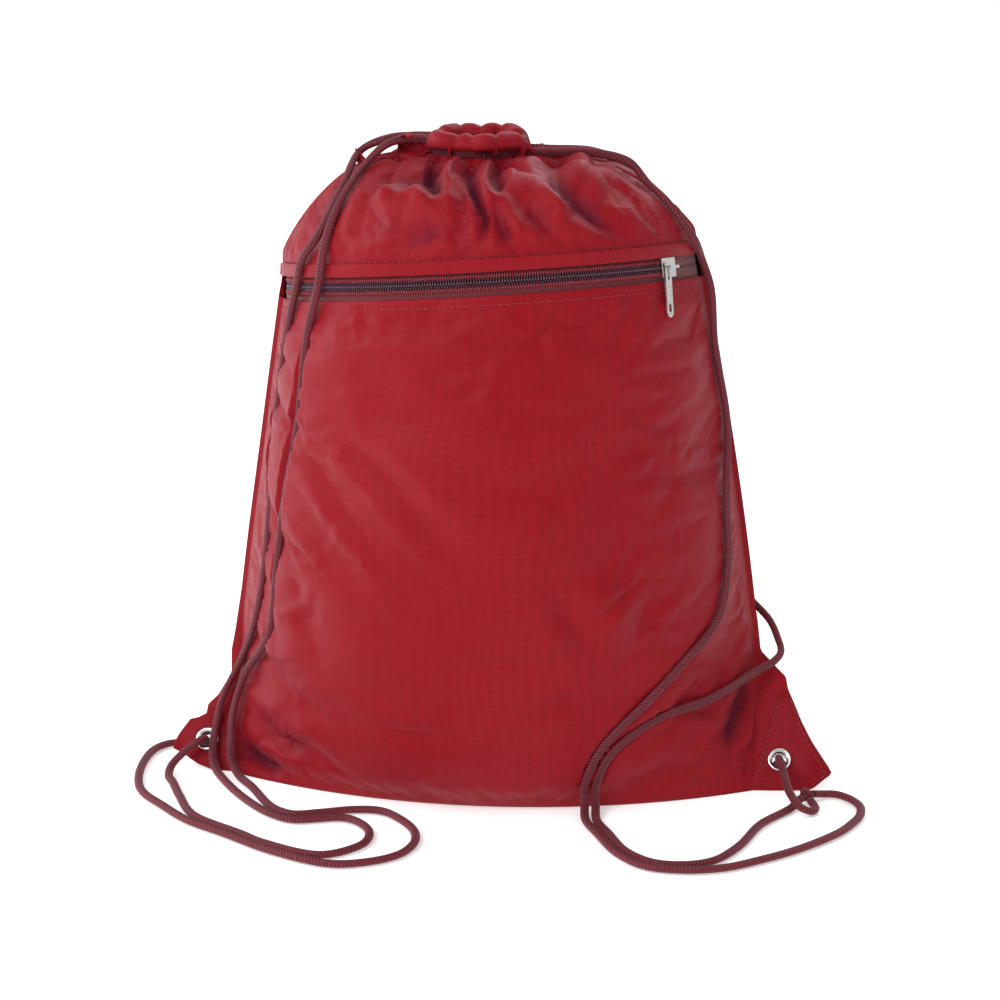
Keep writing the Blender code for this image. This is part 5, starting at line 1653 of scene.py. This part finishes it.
class BACKPACK_OT_stitching(bpy.types.Operator):
    """Sews the rows of topstitching over the panels"""

    bl_idname = "backpack.stitching"
    bl_label = "Build Stitching"

    def execute(self, context):
        settings = context.scene.backpack_zip
        length = settings.stitch_length
        thread = make_plain("topstitch_thread", settings.thread_colour, 0.6)
        if not CLOTH:
            raise RuntimeError("build the fabric before its stitching")
        for key, facing, name, row in (
            ("upper", -1, "zip_upper_stitches", 6.4), ("pocket", -1, "zip_lower_stitches", -5.2),
        ):
            grid = CLOTH[key][0]
            columns = np.linspace(EDGE_COLUMNS + 1, grid.shape[1] - EDGE_COLUMNS - 2, 600)
            rows = np.full(600, row if row > 0 else grid.shape[0] - 1 + row)
            self.sew(name, grid, facing, rows, columns, length, thread)
        for key, facing in (("upper", -1), ("back", 1)):
            grid = CLOTH[key][0]
            hem = grid.shape[0] - 25.0
            columns = np.linspace(EDGE_COLUMNS + 6, grid.shape[1] - EDGE_COLUMNS - 7, 1200)
            side = np.abs(columns / (grid.shape[1] - 1) - 0.5) * 2
            rows = hem - 9 * smooth(0.4, 1, side)
            self.sew(f"hem_stitches_{key}", grid, facing, rows, columns, length, thread)
        return {"FINISHED"}

    def sew(self, name, grid, facing, rows, columns, length, thread):
        line = on_grid(grid, rows, columns)
        outward = unit(on_grid(grid_normals(grid, facing), rows, columns))
        stitches(name, line, outward, length, thread)


class BACKPACK_PT_looks(bpy.types.Panel):
    """The backpack's pieces and their settings"""

    bl_label = "Backpack Looks"
    bl_idname = "BACKPACK_PT_looks"
    bl_space_type = "VIEW_3D"
    bl_region_type = "UI"
    bl_category = "Backpack"

    def draw(self, context):
        for name in SETTINGS:
            box = self.layout.box()
            group = getattr(context.scene, name)
            for key in group.__annotations__:
                box.prop(group, key)
        for operator in OPERATORS:
            self.layout.operator(operator.bl_idname)


SETTINGS = {
    "backpack_fabric": FabricSettings,
    "backpack_cords": CordSettings,
    "backpack_zip": ZipSettings,
    "backpack_stage": StageSettings,
}
OPERATORS = (
    BACKPACK_OT_stage,
    BACKPACK_OT_cords,
    BACKPACK_OT_fabric,
    BACKPACK_OT_corners,
    BACKPACK_OT_zip,
    BACKPACK_OT_stitching,
)


def register():
    for group in SETTINGS.values():
        bpy.utils.register_class(group)
    for name, group in SETTINGS.items():
        setattr(bpy.types.Scene, name, bpy.props.PointerProperty(type=group))
    for operator in OPERATORS:
        bpy.utils.register_class(operator)
    bpy.utils.register_class(BACKPACK_PT_looks)


def unregister():
    bpy.utils.unregister_class(BACKPACK_PT_looks)
    for operator in reversed(OPERATORS):
        bpy.utils.unregister_class(operator)
    for name, group in SETTINGS.items():
        delattr(bpy.types.Scene, name)
        bpy.utils.unregister_class(group)


def main():
    register()
    bpy.ops.backpack.stage()
    bpy.ops.backpack.cords()
    bpy.ops.backpack.fabric()
    bpy.ops.backpack.corners()
    bpy.ops.backpack.zip()
    bpy.ops.backpack.stitching()


if __name__ == "__main__":
    main()
